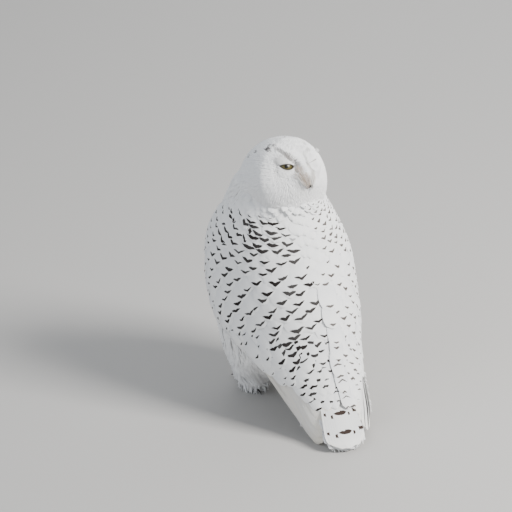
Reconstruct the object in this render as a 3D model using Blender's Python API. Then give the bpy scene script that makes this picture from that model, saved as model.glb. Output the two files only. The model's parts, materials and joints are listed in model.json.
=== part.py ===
"""A snowy owl standing on the floor, looking back over its right shoulder. Solids only, in metres.

The bird heads along -Y, its left side is +X, and the floor is z = 0. Every solid reaches out to the
tips of the feathers. Neighbours are kept GAP apart, so that no two solids overlap.
"""
from math import atan2, cos, exp, pi, radians, sin, sqrt

import bmesh
import bpy
from mathutils import Euler, Matrix, Vector

MM = 0.001
GAP = 0.4 * MM

# Sections of the trunk and neck, from the skirt of belly feathers up into the head, in millimetres:
# height, where it is widest, half width, front, back, squareness in front and behind, sideways shift.
TRUNK_SECTIONS = (
    (38, -8, 83, -50, 40, 2.3, 2.2, 2),
    (73, -7, 98, -71, 92, 2.2, 2.1, 3),
    (110, -4, 107, -85, 144, 2.2, 2.0, 3),
    (156, 2, 118, -94, 178, 2.2, 1.9, 2),
    (205, 4, 127, -99, 168, 2.2, 1.85, 3),
    (270, -4, 123, -101, 137, 2.2, 1.95, 5),
    (325, -8, 106, -96, 112, 2.2, 2.1, 9),
    (362, -8, 92, -86, 95, 2.1, 2.1, 10),
    (394, -2, 84, -74, 82, 2.0, 2.0, 9),
    (424, 8, 77, -58, 72, 2.0, 2.0, 9),
)
# Sections of the two folded wings, from the shoulder down to the wing tips, in millimetres:
# height, where it is widest, half width, back, squareness behind, sideways shift, front edge's angle.
WING_SECTIONS = (
    (10, 222, 51, 266, 1.9, -3, 0),
    (60, 168, 72, 242, 1.8, -3, 0),
    (105, 118, 90, 218, 1.8, 0, 0),
    (130, 72, 106, 205, 1.8, 2, 0),
    (160, 24, 125, 190, 1.8, 2, -3),
    (205, 4, 130, 170, 1.8, 3, -10),
    (270, -4, 125, 139, 1.9, 5, -24),
    (325, -8, 107, 114, 2.1, 9, -22),
    (370, -7, 86, 93, 2.1, 11, -4),
)
NECK_CUT = 355 * MM
HEAD_CUT = 376 * MM
RING_POINTS, TRUNK_RINGS, NECK_RINGS = 36, 15, 6

# Wings: how far each slab lies outside and inside the surface of its sections.
WING_TOP, WING_FOLD = 368 * MM, 206 * MM
# The tip of the right wing ends higher than the left one's.
WING_LOW = {1: 12 * MM, -1: 26 * MM}
COVERT_ROWS, COVERT_COLUMNS = 8, 10
FLIGHT_ROWS, FLIGHT_COLUMNS, TERTIAL_ROW = 11, 5, 3
# A wing thins out towards its tips, and its outer face sinks at its front and top rims.
TIP_THINNESS, FULL_HEIGHT = 0.35, 150 * MM
RIM_SINK, RIM_WIDTH, RIM_HEIGHT = 0.8, 1 / 6, 10 * MM
WING_LIFT = 4.5 * MM
WING_DEPTH = 7.5 * MM
# Where the primaries meet the secondaries across the wing: at the fold, and how far it drifts below.
WING_SPLIT, WING_SPLIT_DRIFT, SPLIT_GAP = 0.52, 0.25, 0.0035
# How far a cutter for a wing's place reaches outward, and past its front edge as a share across.
CUTTER_REACH, CUTTER_MARGIN = 26 * MM, 0.0096
MANTLE_ANGLE = radians(58)
MANTLE_POINT = 230 * MM

# Head, in its own frame: +X out of the face, +Y to its left, +Z up through the crown.
HEAD_CENTRE = Vector((0.006, 0.020, 0.4125))
FACE_AZIMUTH = radians(104)
HEAD_PITCH = radians(24)
HEAD_ROLL = radians(-5)
HEAD_RADII = Vector((0.078, 0.075, 0.077))
HEAD_RINGS, HEAD_SPOKES, RING_CROWDING = 15, 26, 1.12
FACE_FLATNESS, FACE_ANGLE = 7 * MM, radians(46)
# Raised rings about the face: height, the angle from straight ahead where they lie, and width.
RUFF = (3.5 * MM, radians(64), radians(13))
NAPE = (1.5 * MM, radians(138), radians(36))
# Rises and hollows of the face, in millimetres: height, place, spread along each axis. They are
# the bristly muzzle, the eye sockets, the brows and the cheeks; off the middle they come in pairs.
FACE_BUMPS = (
    (13, 77, 0, 0, (30, 12.5, 19)),
    (-8.5, 66, 28.5, 23.5, (30, 14.5, 10.5)),
    (3.5, 64, 21, 41, (30, 20, 8)),
    (3, 60, 34, -18, (30, 18, 16)),
)
# The two halves of the bill in the head's frame: root, heading, length, bend, half width and height.
BILL = {
    "upper": ((0.0572, 0, 0.002), (0.90, 0, -0.36), 31 * MM, radians(62), (7.5 * MM, 8.5 * MM)),
    "lower": ((0.057, 0, -0.0115), (0.92, 0, -0.30), 20 * MM, radians(18), (6.0 * MM, 3.2 * MM)),
}
EYE_RADIUS = 15.0 * MM
EYE_PLACE = Vector((0.0491, 0.0265, 0.0225))

TAIL_ROOT = Vector((0.000, 0.152, 0.136))
TAIL_TIP = Vector((0.004, 0.287, -0.0008))
TAIL_ROOT_HALF, TAIL_TIP_HALF = 30 * MM, 41 * MM
TAIL_ROOT_THICK, TAIL_TIP_THICK = 12 * MM, 6 * MM
TAIL_ROWS, TAIL_COLUMNS = 12, 8
# The roof of the tail: its height at the root, how much thinner its sides are, how round its end is.
TAIL_ROOF, TAIL_SIDE_THINNESS, TAIL_ROUNDNESS = 9 * MM, 0.45, 0.13

LEG_X, LEG_Y = 50 * MM, -13 * MM
FOOT_Y = -19 * MM
LEG_SPOKES = 18
# Leg sections: height, half width, half depth, backward shift, in millimetres.
LEG_SECTIONS = ((14, 27, 33, 0), (30, 31, 37, 1), (55, 33, 39, 3), (92, 24, 28, 6))
# Foot sections: height in millimetres, and radius as a share of the foot's.
FOOT_SECTIONS = ((0, 0.86), (5, 1.0), (20, 1.0), (34, 0.8))
FOOT_RADIUS, FOOT_SPOKES = 15 * MM, 12
# Toe sections: how far along the toe, and how thick as a share of its full size.
TOE_SECTIONS = ((0, 0.42), (0.3, 0.74), (0.65, 1.0), (0.9, 0.88), (1.0, 0.6))
TOE_HEIGHT, TOE_HALF_WIDTH, TOE_ARCH_STEPS, TOE_SOLE = 12 * MM, 6.4 * MM, 6, 0.8
# Toes of the left foot: angle outward from straight ahead, length from the foot's middle.
TOES = (("inner", -36, 39), ("middle", -10, 43), ("outer", 16, 39), ("hind", 180, 27))
CLAW_HALF_WIDTH, CLAW_HALF_HEIGHT, CLAW_LENGTH, CLAW_BEND = 2.4 * MM, 2.9 * MM, 18 * MM, radians(40)
CLAW_HEIGHT = 5.7 * MM

WHITE_COAT = (0.80, 0.80, 0.78)
CREAM = (0.74, 0.69, 0.60)
IRIS = (0.55, 0.44, 0.05)
HORN = (0.03, 0.03, 0.035)


def clear_scene():
    for old in list(bpy.data.objects):
        bpy.data.objects.remove(old, do_unlink=True)


def material(name, colour, roughness, metallic=0.0):
    """One plain Principled finish, made once for each name."""
    made = bpy.data.materials.get(name) or bpy.data.materials.new(name)
    made.use_nodes = True
    shader = made.node_tree.nodes["Principled BSDF"]
    shader.inputs["Base Color"].default_value = (*colour, 1.0)
    shader.inputs["Roughness"].default_value = roughness
    shader.inputs["Metallic"].default_value = metallic
    made.diffuse_color = (*colour, 1.0)
    return made


def new_object(name, mesh_builder, finish, matrix=Matrix.Identity(4)):
    """Makes one closed object, facing out, from a bmesh."""
    mesh_builder.transform(matrix)
    bmesh.ops.recalc_face_normals(mesh_builder, faces=mesh_builder.faces)
    if mesh_builder.calc_volume(signed=True) < 0:
        bmesh.ops.reverse_faces(mesh_builder, faces=mesh_builder.faces)
    mesh = bpy.data.meshes.new(name)
    mesh_builder.to_mesh(mesh)
    mesh_builder.free()
    mesh.materials.append(finish)
    made = bpy.data.objects.new(name, mesh)
    bpy.context.scene.collection.objects.link(made)
    return made


def as_cutter(cutter):
    """Hides a solid that only cuts others."""
    cutter.hide_render = True
    cutter.display_type = "WIRE"
    return cutter


def cut_away(solid, cutters):
    for cutter in cutters:
        step = solid.modifiers.new("cut_" + cutter.name, "BOOLEAN")
        step.operation = "DIFFERENCE"
        step.solver = "EXACT"
        step.use_self = True
        step.object = cutter


def between(stations, height):
    """Reads a table of sections at any height, with smooth curves between its rows."""
    rows = [[value * MM for value in row] for row in stations]
    height = min(max(height, rows[0][0]), rows[-1][0])
    low = max(i for i in range(len(rows) - 1) if rows[i][0] <= height + 1e-9)
    span = rows[low + 1][0] - rows[low][0]
    t = (height - rows[low][0]) / span

    def slope(i, column):
        first, last = max(i - 1, 0), min(i + 1, len(rows) - 1)
        return (rows[last][column] - rows[first][column]) / (rows[last][0] - rows[first][0])

    values = []
    for column in range(1, len(rows[0])):
        a, b = rows[low][column], rows[low + 1][column]
        ga, gb = slope(low, column) * span, slope(low + 1, column) * span
        cubic = (2 * a - 2 * b + ga + gb) * t + (3 * b - 3 * a - 2 * ga - gb)
        values.append((cubic * t + ga) * t + a)
    return values


def signed_power(value, power):
    return abs(value) ** power * (1 if value >= 0 else -1)


def trunk_point(height, angle):
    """A point of the trunk's outline; angle 0 is its left side and 90 degrees is its back."""
    widest, half, front, back, front_square, back_square, shift = between(TRUNK_SECTIONS, height)
    square = (back_square if sin(angle) > 0 else front_square) / MM
    depth = back - widest if sin(angle) > 0 else widest - front
    x = shift + half * signed_power(cos(angle), 2 / square)
    y = widest + depth * signed_power(sin(angle), 2 / square)
    return Vector((x, y, height))


def two_triangles(made, a, b, c, d):
    """Fills a four-sided patch, always across the same diagonal, so that nested copies match."""
    made.faces.new((a, b, c))
    made.faces.new((a, c, d))


def ring_loft(rings):
    """Closes a stack of rings of points into one solid, with a flat cap at each end."""
    made = bmesh.new()
    loops = [[made.verts.new(point) for point in ring] for ring in rings]
    for lower, upper in zip(loops, loops[1:]):
        for i in range(len(lower)):
            j = (i + 1) % len(lower)
            two_triangles(made, lower[i], lower[j], upper[j], upper[i])
    made.faces.new(list(reversed(loops[0])))
    made.faces.new(loops[-1])
    return made


def trunk_loft(low, high, count):
    heights = [low + (high - low) * i / (count - 1) for i in range(count)]
    angles = [2 * pi * i / RING_POINTS for i in range(RING_POINTS)]
    return ring_loft([[trunk_point(height, angle) for angle in angles] for height in heights])


def slab(rows, columns, point):
    """A closed sheet: point(u, v, side) gives its outer face for side 1 and its inner for side 0."""
    made = bmesh.new()
    grid = {}
    for side in (0, 1):
        for i in range(rows + 1):
            for j in range(columns + 1):
                grid[side, i, j] = made.verts.new(point(i / rows, j / columns, side))
    for i in range(rows):
        for j in range(columns):
            for side in (0, 1):
                corners = ((i, j), (i + 1, j), (i + 1, j + 1), (i, j + 1))
                two_triangles(made, *(grid[side, a, b] for a, b in corners))
    border = [(i, 0) for i in range(rows)] + [(rows, j) for j in range(columns)]
    border += [(i, columns) for i in range(rows, 0, -1)] + [(0, j) for j in range(columns, 0, -1)]
    for (a, b), (c, d) in zip(border, border[1:] + border[:1]):
        two_triangles(made, grid[0, a, b], grid[0, c, d], grid[1, c, d], grid[1, a, b])
    return made


# ---- wings ----------------------------------------------------------------------------------

def mantle_edge(height):
    """The angle of a wing's inner edge: it nears the spine as the wing runs down."""
    rise = min(max((height - MANTLE_POINT) / (WING_TOP - MANTLE_POINT), 0.0), 1.0)
    return pi / 2 + (MANTLE_ANGLE - pi / 2) * rise ** 0.8


def wing_surface(height, across):
    """A point of the left wing; across runs from 0 at its front edge to 1 at its inner edge."""
    widest, half, back, square, shift, edge = between(WING_SECTIONS, height)
    front = radians(edge / MM)
    angle = front + (mantle_edge(height) - front) * across
    power = 2 / (square / MM)
    x = half * signed_power(cos(angle), power)
    y = widest + (back - widest) * signed_power(sin(angle), power)
    return Vector((x, y, height)), shift


def wing_point(side, height, across, lift, nearest):
    """The same point raised along the outward normal, for the left (1) or the right (-1) wing.

    No point comes nearer the spine than the distance given."""
    step = 0.5 * MM
    here, shift = wing_surface(height, across)
    up = wing_surface(height + step, across)[0] - wing_surface(height - step, across)[0]
    inward = wing_surface(height, min(across + 0.01, 1.0))[0]
    inward -= wing_surface(height, max(across - 0.01, 0.0))[0]
    point = here + inward.cross(up).normalized() * lift
    x = max(point.x, nearest)
    return Vector((x * side + shift, point.y, max(point.z, 0.8 * MM)))


def wing_slab(side, heights, span, columns, cutter=False):
    """One stretch of a wing; span gives its range across, as a function of height.

    As a cutter it is a little larger, and reaches far out and past the spine."""
    grow = 2 * GAP if cutter else 0.0
    margin = CUTTER_MARGIN if cutter else 0.0
    nearest = -2 * MM if cutter else GAP / 2
    levels = list(heights)
    levels[0] -= grow
    levels[-1] += grow

    def point(u, v, face):
        height = levels[round(u * (len(levels) - 1))]
        first, last = span(height)
        across = first - margin + (last - first + 1.5 * margin) * v
        thin = min(1.0, TIP_THINNESS + height / FULL_HEIGHT)
        rim = min(across / RIM_WIDTH, (WING_TOP - height) / RIM_HEIGHT)
        lift = WING_LIFT * thin * (1 - RIM_SINK * exp(-max(rim, 0.0)))
        if cutter:
            lift = CUTTER_REACH
        if not face:
            lift = -WING_DEPTH * thin - 1.5 * grow
        return wing_point(side, height, across, lift, nearest)

    return slab(len(levels) - 1, columns, point)


def flight_split(height):
    """Where the primaries end and the secondaries begin, across the folded wing."""
    return WING_SPLIT + WING_SPLIT_DRIFT * (1 - min(height / WING_FOLD, 1.0))


def even_levels(low, high, rows):
    return [low + (high - low) * i / rows for i in range(rows + 1)]


def add_wings(coat, cream):
    """Three pieces for each wing, and a hidden cutter for each piece's place in the trunk."""
    high = even_levels(WING_FOLD + GAP / 2, WING_TOP, COVERT_ROWS)
    cutters = []
    for name, side in (("left", 1), ("right", -1)):
        low = even_levels(WING_LOW[side], WING_FOLD - GAP / 2, FLIGHT_ROWS)
        pieces = (
            ("coverts", high, lambda height: (0.0, 1.0), COVERT_COLUMNS, coat),
            ("secondaries", low[TERTIAL_ROW:],
             lambda height: (flight_split(height) + SPLIT_GAP, 1.0), FLIGHT_COLUMNS, coat),
            ("primaries", low,
             lambda height: (0.0, flight_split(height) - SPLIT_GAP), FLIGHT_COLUMNS, cream),
        )
        for piece, heights, span, columns, finish in pieces:
            new_object(f"wing_{name}_{piece}", wing_slab(side, heights, span, columns), finish)
            place = wing_slab(side, heights, span, columns, cutter=True)
            cutters.append(as_cutter(new_object(f"place_of_{name}_{piece}", place, finish)))
    return cutters


# ---- head -----------------------------------------------------------------------------------

def head_matrix():
    turn = Euler((HEAD_ROLL, -HEAD_PITCH, FACE_AZIMUTH), "XYZ").to_matrix().to_4x4()
    return Matrix.Translation(HEAD_CENTRE) @ turn


def bump(place, centre, spread):
    """A smooth rise of height one about a centre, with its own spread along each axis."""
    off = [(place[i] - centre[i]) / spread[i] for i in range(3)]
    return exp(-sum(value * value for value in off))


def head_point(ring_angle, spoke_angle, grow):
    """A point of the head; ring_angle is measured from straight out of the face."""
    aim = Vector((cos(ring_angle),
                  sin(ring_angle) * cos(spoke_angle),
                  sin(ring_angle) * sin(spoke_angle)))
    reach = 1 / sqrt(sum((aim[i] / HEAD_RADII[i]) ** 2 for i in range(3)))
    place = aim * reach
    change = -FACE_FLATNESS * exp(-(ring_angle / FACE_ANGLE) ** 4)
    for height, middle, width in (RUFF, NAPE):
        change += height * exp(-((ring_angle - middle) / width) ** 2)
    for height, x, y, z, spread in FACE_BUMPS:
        for side in ((1,) if y == 0 else (1, -1)):
            change += height * MM * bump(place, Vector((x, side * y, z)) * MM, Vector(spread) * MM)
    return aim * (reach + change + grow)


def head_solid(grow=0.0):
    """A round head built of rings about the face, with sunk eyes, brows, cheeks and bristles."""
    made = bmesh.new()
    loops = []
    for i in range(1, HEAD_RINGS):
        angle = pi * (i / HEAD_RINGS) ** RING_CROWDING
        spokes = [2 * pi * j / HEAD_SPOKES for j in range(HEAD_SPOKES)]
        loops.append([made.verts.new(head_point(angle, spoke, grow)) for spoke in spokes])
    for first, second in zip(loops, loops[1:]):
        for i in range(HEAD_SPOKES):
            j = (i + 1) % HEAD_SPOKES
            two_triangles(made, first[i], first[j], second[j], second[i])
    for loop, angle in ((loops[0], 0.0), (loops[-1], pi)):
        pole = made.verts.new(head_point(angle, 0.0, grow))
        for i in range(HEAD_SPOKES):
            made.faces.new((loop[i], loop[(i + 1) % HEAD_SPOKES], pole))
    return made


def curved_cone(start, heading, bend_axis, length, bend, radii, points=8, steps=5):
    """A tapering horn shape along an arc; radii are half width and half height at its root."""
    rings = []
    place = Vector(start)
    aim = Vector(heading).normalized()
    across = Vector(bend_axis).normalized()
    for i in range(steps + 1):
        t = i / steps
        size = (1 - t) ** 0.75 * 0.92 + 0.08
        rise = aim.cross(across).normalized()
        angles = [2 * pi * j / points for j in range(points)]
        rings.append([place + across * cos(a) * radii[0] * size + rise * sin(a) * radii[1] * size
                      for a in angles])
        place = place + aim * (length / steps)
        aim.rotate(Matrix.Rotation(bend / steps, 3, across))
    return ring_loft(rings)


def bill_solid(part, grow=0.0):
    start, heading, length, bend, radii = BILL[part]
    radii = [radius + grow for radius in radii]
    return curved_cone(start, heading, (0, 1, 0), length, bend, radii)


def eye_solid(side, grow=0.0):
    made = bmesh.new()
    bmesh.ops.create_uvsphere(made, u_segments=12, v_segments=8, radius=EYE_RADIUS + grow)
    place = Vector((EYE_PLACE.x, EYE_PLACE.y * side, EYE_PLACE.z))
    made.transform(Matrix.Translation(place))
    return made


def box(low, high):
    made = bmesh.new()
    bmesh.ops.create_cube(made, size=1.0)
    size = Vector(high) - Vector(low)
    middle = (Vector(high) + Vector(low)) / 2
    made.transform(Matrix.Translation(middle) @ Matrix.Diagonal((*size, 1.0)))
    return made


def add_head(coat):
    """The head with its eyes and bill, and the hidden cutters that keep them apart."""
    frame = head_matrix()
    horn = material("horn_black", HORN, 0.35)
    iris = material("eye_yellow", IRIS, 0.08)
    head = new_object("head", head_solid(), coat, frame)
    cutters = [as_cutter(new_object("below_head", box((-1, -1, -1), (1, 1, HEAD_CUT)), coat))]
    for name, side in (("left", 1), ("right", -1)):
        new_object(f"eye_{name}", eye_solid(side), iris, frame)
        cutters.append(as_cutter(new_object(f"socket_{name}", eye_solid(side, GAP), coat, frame)))
    for part in BILL:
        new_object(f"bill_{part}", bill_solid(part), horn, frame)
        cutters.append(as_cutter(new_object(f"place_of_bill_{part}", bill_solid(part, GAP), coat, frame)))
    cut_away(head, cutters)
    place = as_cutter(new_object("place_of_head", head_solid(GAP), coat, frame))
    cut_away(place, [as_cutter(new_object("below_place", box((-1, -1, -1), (1, 1, HEAD_CUT - GAP)), coat))])
    return place


# ---- tail, legs and feet --------------------------------------------------------------------

def tail_solid(grow=0.0):
    """A shallow roof of tail feathers with a rounded end that rests on the floor."""
    along = (TAIL_TIP - TAIL_ROOT).normalized()
    across = Vector((along.y, -along.x, 0)).normalized()
    above = across.cross(along).normalized()
    if above.z < 0:
        above.negate()
    length = (TAIL_TIP - TAIL_ROOT).length

    def point(step, v, face):
        u = 1 - (1 - step) ** 1.6
        sideways = 2 * v - 1
        half = TAIL_ROOT_HALF + (TAIL_TIP_HALF - TAIL_ROOT_HALF) * u ** 0.8
        thick = TAIL_ROOT_THICK + (TAIL_TIP_THICK - TAIL_ROOT_THICK) * u
        reach = length * u * (1 - TAIL_ROUNDNESS * sideways ** 2 * u) - (grow if u == 0 else 0)
        roof = TAIL_ROOF * (1 - sideways ** 2) * (1 - u)
        half_thick = (thick / 2 + grow) * (1 - TAIL_SIDE_THINNESS * sideways ** 2)
        lift = roof + (half_thick if face else -half_thick)
        spread = across * sideways * (half + grow)
        place = TAIL_ROOT + along * reach + spread + above * lift
        return Vector((place.x, place.y, max(place.z, 0.0)))

    return slab(TAIL_ROWS, TAIL_COLUMNS, point)


def leg_solid(side, grow=0.0):
    rings = []
    angles = [2 * pi * i / LEG_SPOKES for i in range(LEG_SPOKES)]
    ends = {LEG_SECTIONS[0]: -grow, LEG_SECTIONS[-1]: grow}
    for station in LEG_SECTIONS:
        height, half, depth, back = station
        z = height * MM + ends.get(station, 0.0)
        x, y = side * LEG_X, LEG_Y + back * MM
        rings.append([Vector((x + (half * MM + grow) * cos(a), y + (depth * MM + grow) * sin(a), z))
                      for a in angles])
    return ring_loft(rings)


def foot_solid(side, grow=0.0):
    """The round middle of a foot, from its flat sole up into the leg feathers."""
    rings = []
    angles = [2 * pi * i / FOOT_SPOKES for i in range(FOOT_SPOKES)]
    for height, share in FOOT_SECTIONS:
        z = height * MM + (grow if height else -grow)
        radius = FOOT_RADIUS * share + grow
        rings.append([Vector((side * LEG_X + radius * cos(a), FOOT_Y + radius * sin(a), z))
                      for a in angles])
    return ring_loft(rings)


def toe_frame(side, spread):
    """A frame with +X along the toe, at the middle of the foot."""
    heading = atan2(-cos(radians(spread)), side * sin(radians(spread)))
    return Matrix.Translation((side * LEG_X, FOOT_Y, 0)) @ Matrix.Rotation(heading, 4, "Z")


def toe_solid(length):
    """A thick feathered toe with a flat sole."""
    rings = []
    start = FOOT_RADIUS + GAP
    turns = [pi * i / TOE_ARCH_STEPS for i in range(TOE_ARCH_STEPS + 1)]
    for t, swell in TOE_SECTIONS:
        x = start + (length * MM - start) * t
        half, top = TOE_HALF_WIDTH * swell, TOE_HEIGHT * swell
        arch = [(half * cos(turn), top * (0.3 + 0.7 * sin(turn))) for turn in turns]
        arch += [(-half * TOE_SOLE, 0.0), (half * TOE_SOLE, 0.0)]
        rings.append([Vector((x, y, z)) for y, z in arch])
    return ring_loft(rings)


def claw_solid(length):
    """A talon that leaves the toe's end and curves down to just above the floor."""
    root = (length * MM + GAP, 0, CLAW_HEIGHT)
    radii = (CLAW_HALF_WIDTH, CLAW_HALF_HEIGHT)
    return curved_cone(root, (1, 0, 0), (0, 1, 0), CLAW_LENGTH, CLAW_BEND, radii, points=6, steps=4)


def add_legs(coat):
    """Legs, feet, toes and claws, and the hidden cutters that part them."""
    horn = material("horn_black", HORN, 0.35)
    places = []
    for name, side in (("left", 1), ("right", -1)):
        leg = new_object(f"leg_{name}", leg_solid(side), coat)
        new_object(f"foot_{name}", foot_solid(side), coat)
        socket = as_cutter(new_object(f"place_of_foot_{name}", foot_solid(side, GAP), coat))
        cut_away(leg, [socket])
        for toe, spread, length in TOES:
            frame = toe_frame(side, spread)
            new_object(f"toe_{name}_{toe}", toe_solid(length), coat, frame)
            new_object(f"claw_{name}_{toe}", claw_solid(length), horn, frame)
        places.append(as_cutter(new_object(f"place_of_leg_{name}", leg_solid(side, GAP), coat)))
    return places


def add_trunk(coat, wing_places, head_place, leg_places):
    lowest, highest = TRUNK_SECTIONS[0][0] * MM, TRUNK_SECTIONS[-1][0] * MM
    trunk = new_object("trunk", trunk_loft(lowest, NECK_CUT, TRUNK_RINGS), coat)
    neck = new_object("neck", trunk_loft(NECK_CUT + GAP, highest, NECK_RINGS), coat)
    new_object("tail", tail_solid(), coat)
    tail_place = as_cutter(new_object("place_of_tail", tail_solid(GAP), coat))
    cut_away(trunk, wing_places + leg_places + [tail_place])
    cut_away(neck, wing_places + [head_place])
    for name in ("left", "right"):
        for piece in ("secondaries", "primaries"):
            cut_away(bpy.data.objects[f"wing_{name}_{piece}"], [tail_place])


def centre_on_floor():
    """Moves everything, so that the origin is the middle of the bird's box at floor level."""
    solids = [made for made in bpy.data.objects if not made.hide_render]
    points = [vertex.co for made in solids for vertex in made.data.vertices]
    for axis in (0, 1):
        values = [point[axis] for point in points]
        middle = (min(values) + max(values)) / 2
        for made in bpy.data.objects:
            made.location[axis] = -middle


def main():
    clear_scene()
    coat = material("white_feather", WHITE_COAT, 0.85)
    cream = material("cream_feather", CREAM, 0.8)
    wing_places = add_wings(coat, cream)
    head_place = add_head(coat)
    leg_places = add_legs(coat)
    add_trunk(coat, wing_places, head_place, leg_places)
    centre_on_floor()


main()
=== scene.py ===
"""The looks of a still, life-size snowy owl: skin, feathers, eyes, bill and claws.

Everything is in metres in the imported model's frame: the bird heads along -Y, its left side is +X,
and the floor is z = 0. One skin is drawn from the solids of flesh, and the coat is planted on it.
"""
import bpy
import json
import numpy as np
from math import cos, pi, radians, sin
from mathutils import Euler, Matrix, Vector
from mathutils.bvhtree import BVHTree
from mathutils.kdtree import KDTree

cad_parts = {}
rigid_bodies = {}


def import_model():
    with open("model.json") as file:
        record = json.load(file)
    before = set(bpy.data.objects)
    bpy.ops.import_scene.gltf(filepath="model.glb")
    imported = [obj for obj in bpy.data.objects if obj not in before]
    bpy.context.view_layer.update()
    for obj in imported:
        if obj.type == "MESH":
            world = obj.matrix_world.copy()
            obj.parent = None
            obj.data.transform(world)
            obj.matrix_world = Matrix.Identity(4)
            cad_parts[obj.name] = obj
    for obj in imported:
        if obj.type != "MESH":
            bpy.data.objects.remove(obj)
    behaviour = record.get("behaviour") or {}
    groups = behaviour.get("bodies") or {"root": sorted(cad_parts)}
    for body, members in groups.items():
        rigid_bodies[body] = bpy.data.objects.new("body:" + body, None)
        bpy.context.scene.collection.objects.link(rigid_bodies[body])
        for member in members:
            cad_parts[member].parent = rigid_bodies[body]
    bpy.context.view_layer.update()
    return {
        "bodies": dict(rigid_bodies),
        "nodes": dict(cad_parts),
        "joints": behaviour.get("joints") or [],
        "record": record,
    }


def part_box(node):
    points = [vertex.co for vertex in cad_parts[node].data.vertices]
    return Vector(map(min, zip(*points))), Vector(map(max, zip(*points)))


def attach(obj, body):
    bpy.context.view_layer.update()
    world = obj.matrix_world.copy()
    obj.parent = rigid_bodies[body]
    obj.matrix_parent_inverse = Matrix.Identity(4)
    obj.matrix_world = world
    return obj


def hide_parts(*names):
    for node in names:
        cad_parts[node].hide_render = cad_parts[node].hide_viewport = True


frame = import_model()
MM = 0.001

# ---- the bird's own shape ----
# Sections of the folded wings and the back between them, in millimetres: height, where it is
# widest, half width, back, squareness, sideways shift, angle of the wing's front edge.
WING_SECTIONS = (
    (10, 222, 51, 266, 1.9, -3, 0),
    (60, 168, 72, 242, 1.8, -3, 0),
    (105, 118, 90, 218, 1.8, 0, 0),
    (130, 72, 106, 205, 1.8, 2, 0),
    (160, 24, 125, 190, 1.8, 2, -3),
    (205, 4, 130, 170, 1.8, 3, -10),
    (270, -4, 125, 139, 1.9, 5, -24),
    (325, -8, 107, 114, 2.1, 9, -22),
    (370, -7, 86, 93, 2.1, 11, -4),
    (400, 0, 77, 79, 2.0, 10, 16),
    (440, 8, 60, 58, 2.0, 9, 16),
)


SIDES = (("left", 1), ("right", -1))
TOE_NAMES = ("inner", "middle", "outer", "hind")


def box_middle(node):
    low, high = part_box(node)
    return (low + high) / 2


FEET = [box_middle(f"foot_{name}") for name, _ in SIDES]
# The sections are measured from a point between the feet, 19 mm behind their middles.
MIDDLE = Vector(((FEET[0].x + FEET[1].x) / 2, FEET[0].y + 19 * MM, 0))
FOOT_X = (FEET[0].x - FEET[1].x) / 2
# The head's frame has +X out of the face, +Y to its left and +Z through the crown.
HEAD_TURN = Euler((radians(-5), radians(-24), radians(104)), "XYZ").to_matrix().to_4x4()
HEAD = Matrix.Translation(Vector((0.006, 0.020, 0.4125)) + MIDDLE) @ HEAD_TURN


def head_way(x, y, z):
    """A way in the head's frame, turned into the model's frame."""
    return HEAD.to_3x3() @ Vector((x, y, z))


FACING = np.array(head_way(1, 0, 0).normalized())
EYES = {side: box_middle(f"eye_{name}") for name, side in SIDES}
EYE_RADIUS = 15 * MM
BILL_TIP = HEAD @ Vector((75 * MM, 0, -21.5 * MM))
# The tail runs straight from its root to its tip, both measured like the wings' sections.
TAIL_ROOT = Vector((0, 152 * MM, 136 * MM)) + MIDDLE
TAIL_TIP = Vector((4 * MM, 287 * MM, -0.8 * MM)) + MIDDLE

WINGS = [f"wing_{name}_{part}" for name, _ in SIDES
         for part in ("coverts", "secondaries", "primaries")]
TOES = [f"toe_{name}_{toe}" for name, _ in SIDES for toe in TOE_NAMES]
LIMBS = [f"{limb}_{name}" for limb in ("leg", "foot") for name, _ in SIDES]
FLESH = ["head", "neck", "trunk", "tail"] + WINGS + LIMBS + TOES
# How deep the coat is over each part, in millimetres.
COAT_DEPTH = {"head": 2.4, "neck": 4.5, "trunk": 4.5, "tail": 2.8, "wing": 4.5, "leg": 4.5,
              "foot": 2.3, "toe": 2.0}


def section(height):
    """The values of WING_SECTIONS at each height, with smooth curves between the rows."""
    rows = np.array(WING_SECTIONS, dtype=float)
    levels = rows[:, 0] * MM
    height = np.clip(height, levels[0], levels[-1])
    low = np.clip(np.searchsorted(levels, height, side="right") - 1, 0, len(levels) - 2)
    slope = np.empty_like(rows)
    slope[1:-1] = (rows[2:] - rows[:-2]) / (levels[2:] - levels[:-2])[:, None]
    slope[0] = (rows[1] - rows[0]) / (levels[1] - levels[0])
    slope[-1] = (rows[-1] - rows[-2]) / (levels[-1] - levels[-2])
    span = (levels[low + 1] - levels[low])[:, None]
    t = (height - levels[low])[:, None] / span
    a, b = rows[low], rows[low + 1]
    ga, gb = slope[low] * span, slope[low + 1] * span
    return (((2 * a - 2 * b + ga + gb) * t + (3 * b - 3 * a - 2 * ga - gb)) * t + ga) * t + a


def back_surface(height, across, side):
    """Points of one side of the back; across is 0 at the wing's front edge and 1 at the spine."""
    height, across = np.broadcast_arrays(np.asarray(height, float), np.asarray(across, float))
    values = section(height.ravel())
    widest, half, back, square, shift, edge = values[:, 1:].T
    front = np.radians(edge)
    angle = front + (pi / 2 - front) * across.ravel()
    power = 2 / square
    x = half * np.abs(np.cos(angle)) ** power * np.sign(np.cos(angle))
    y = widest + (back - widest) * np.abs(np.sin(angle)) ** power * np.sign(np.sin(angle))
    place = np.stack([x * side + shift, y, height.ravel() / MM], axis=1) * MM
    return place + np.array(MIDDLE)


# ---- modelling helpers ----

def deselect():
    if bpy.context.object and bpy.context.object.mode != "OBJECT":
        bpy.ops.object.mode_set(mode="OBJECT")
    bpy.ops.object.select_all(action="DESELECT")


def make_active(piece):
    deselect()
    piece.select_set(True)
    bpy.context.view_layer.objects.active = piece


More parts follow.
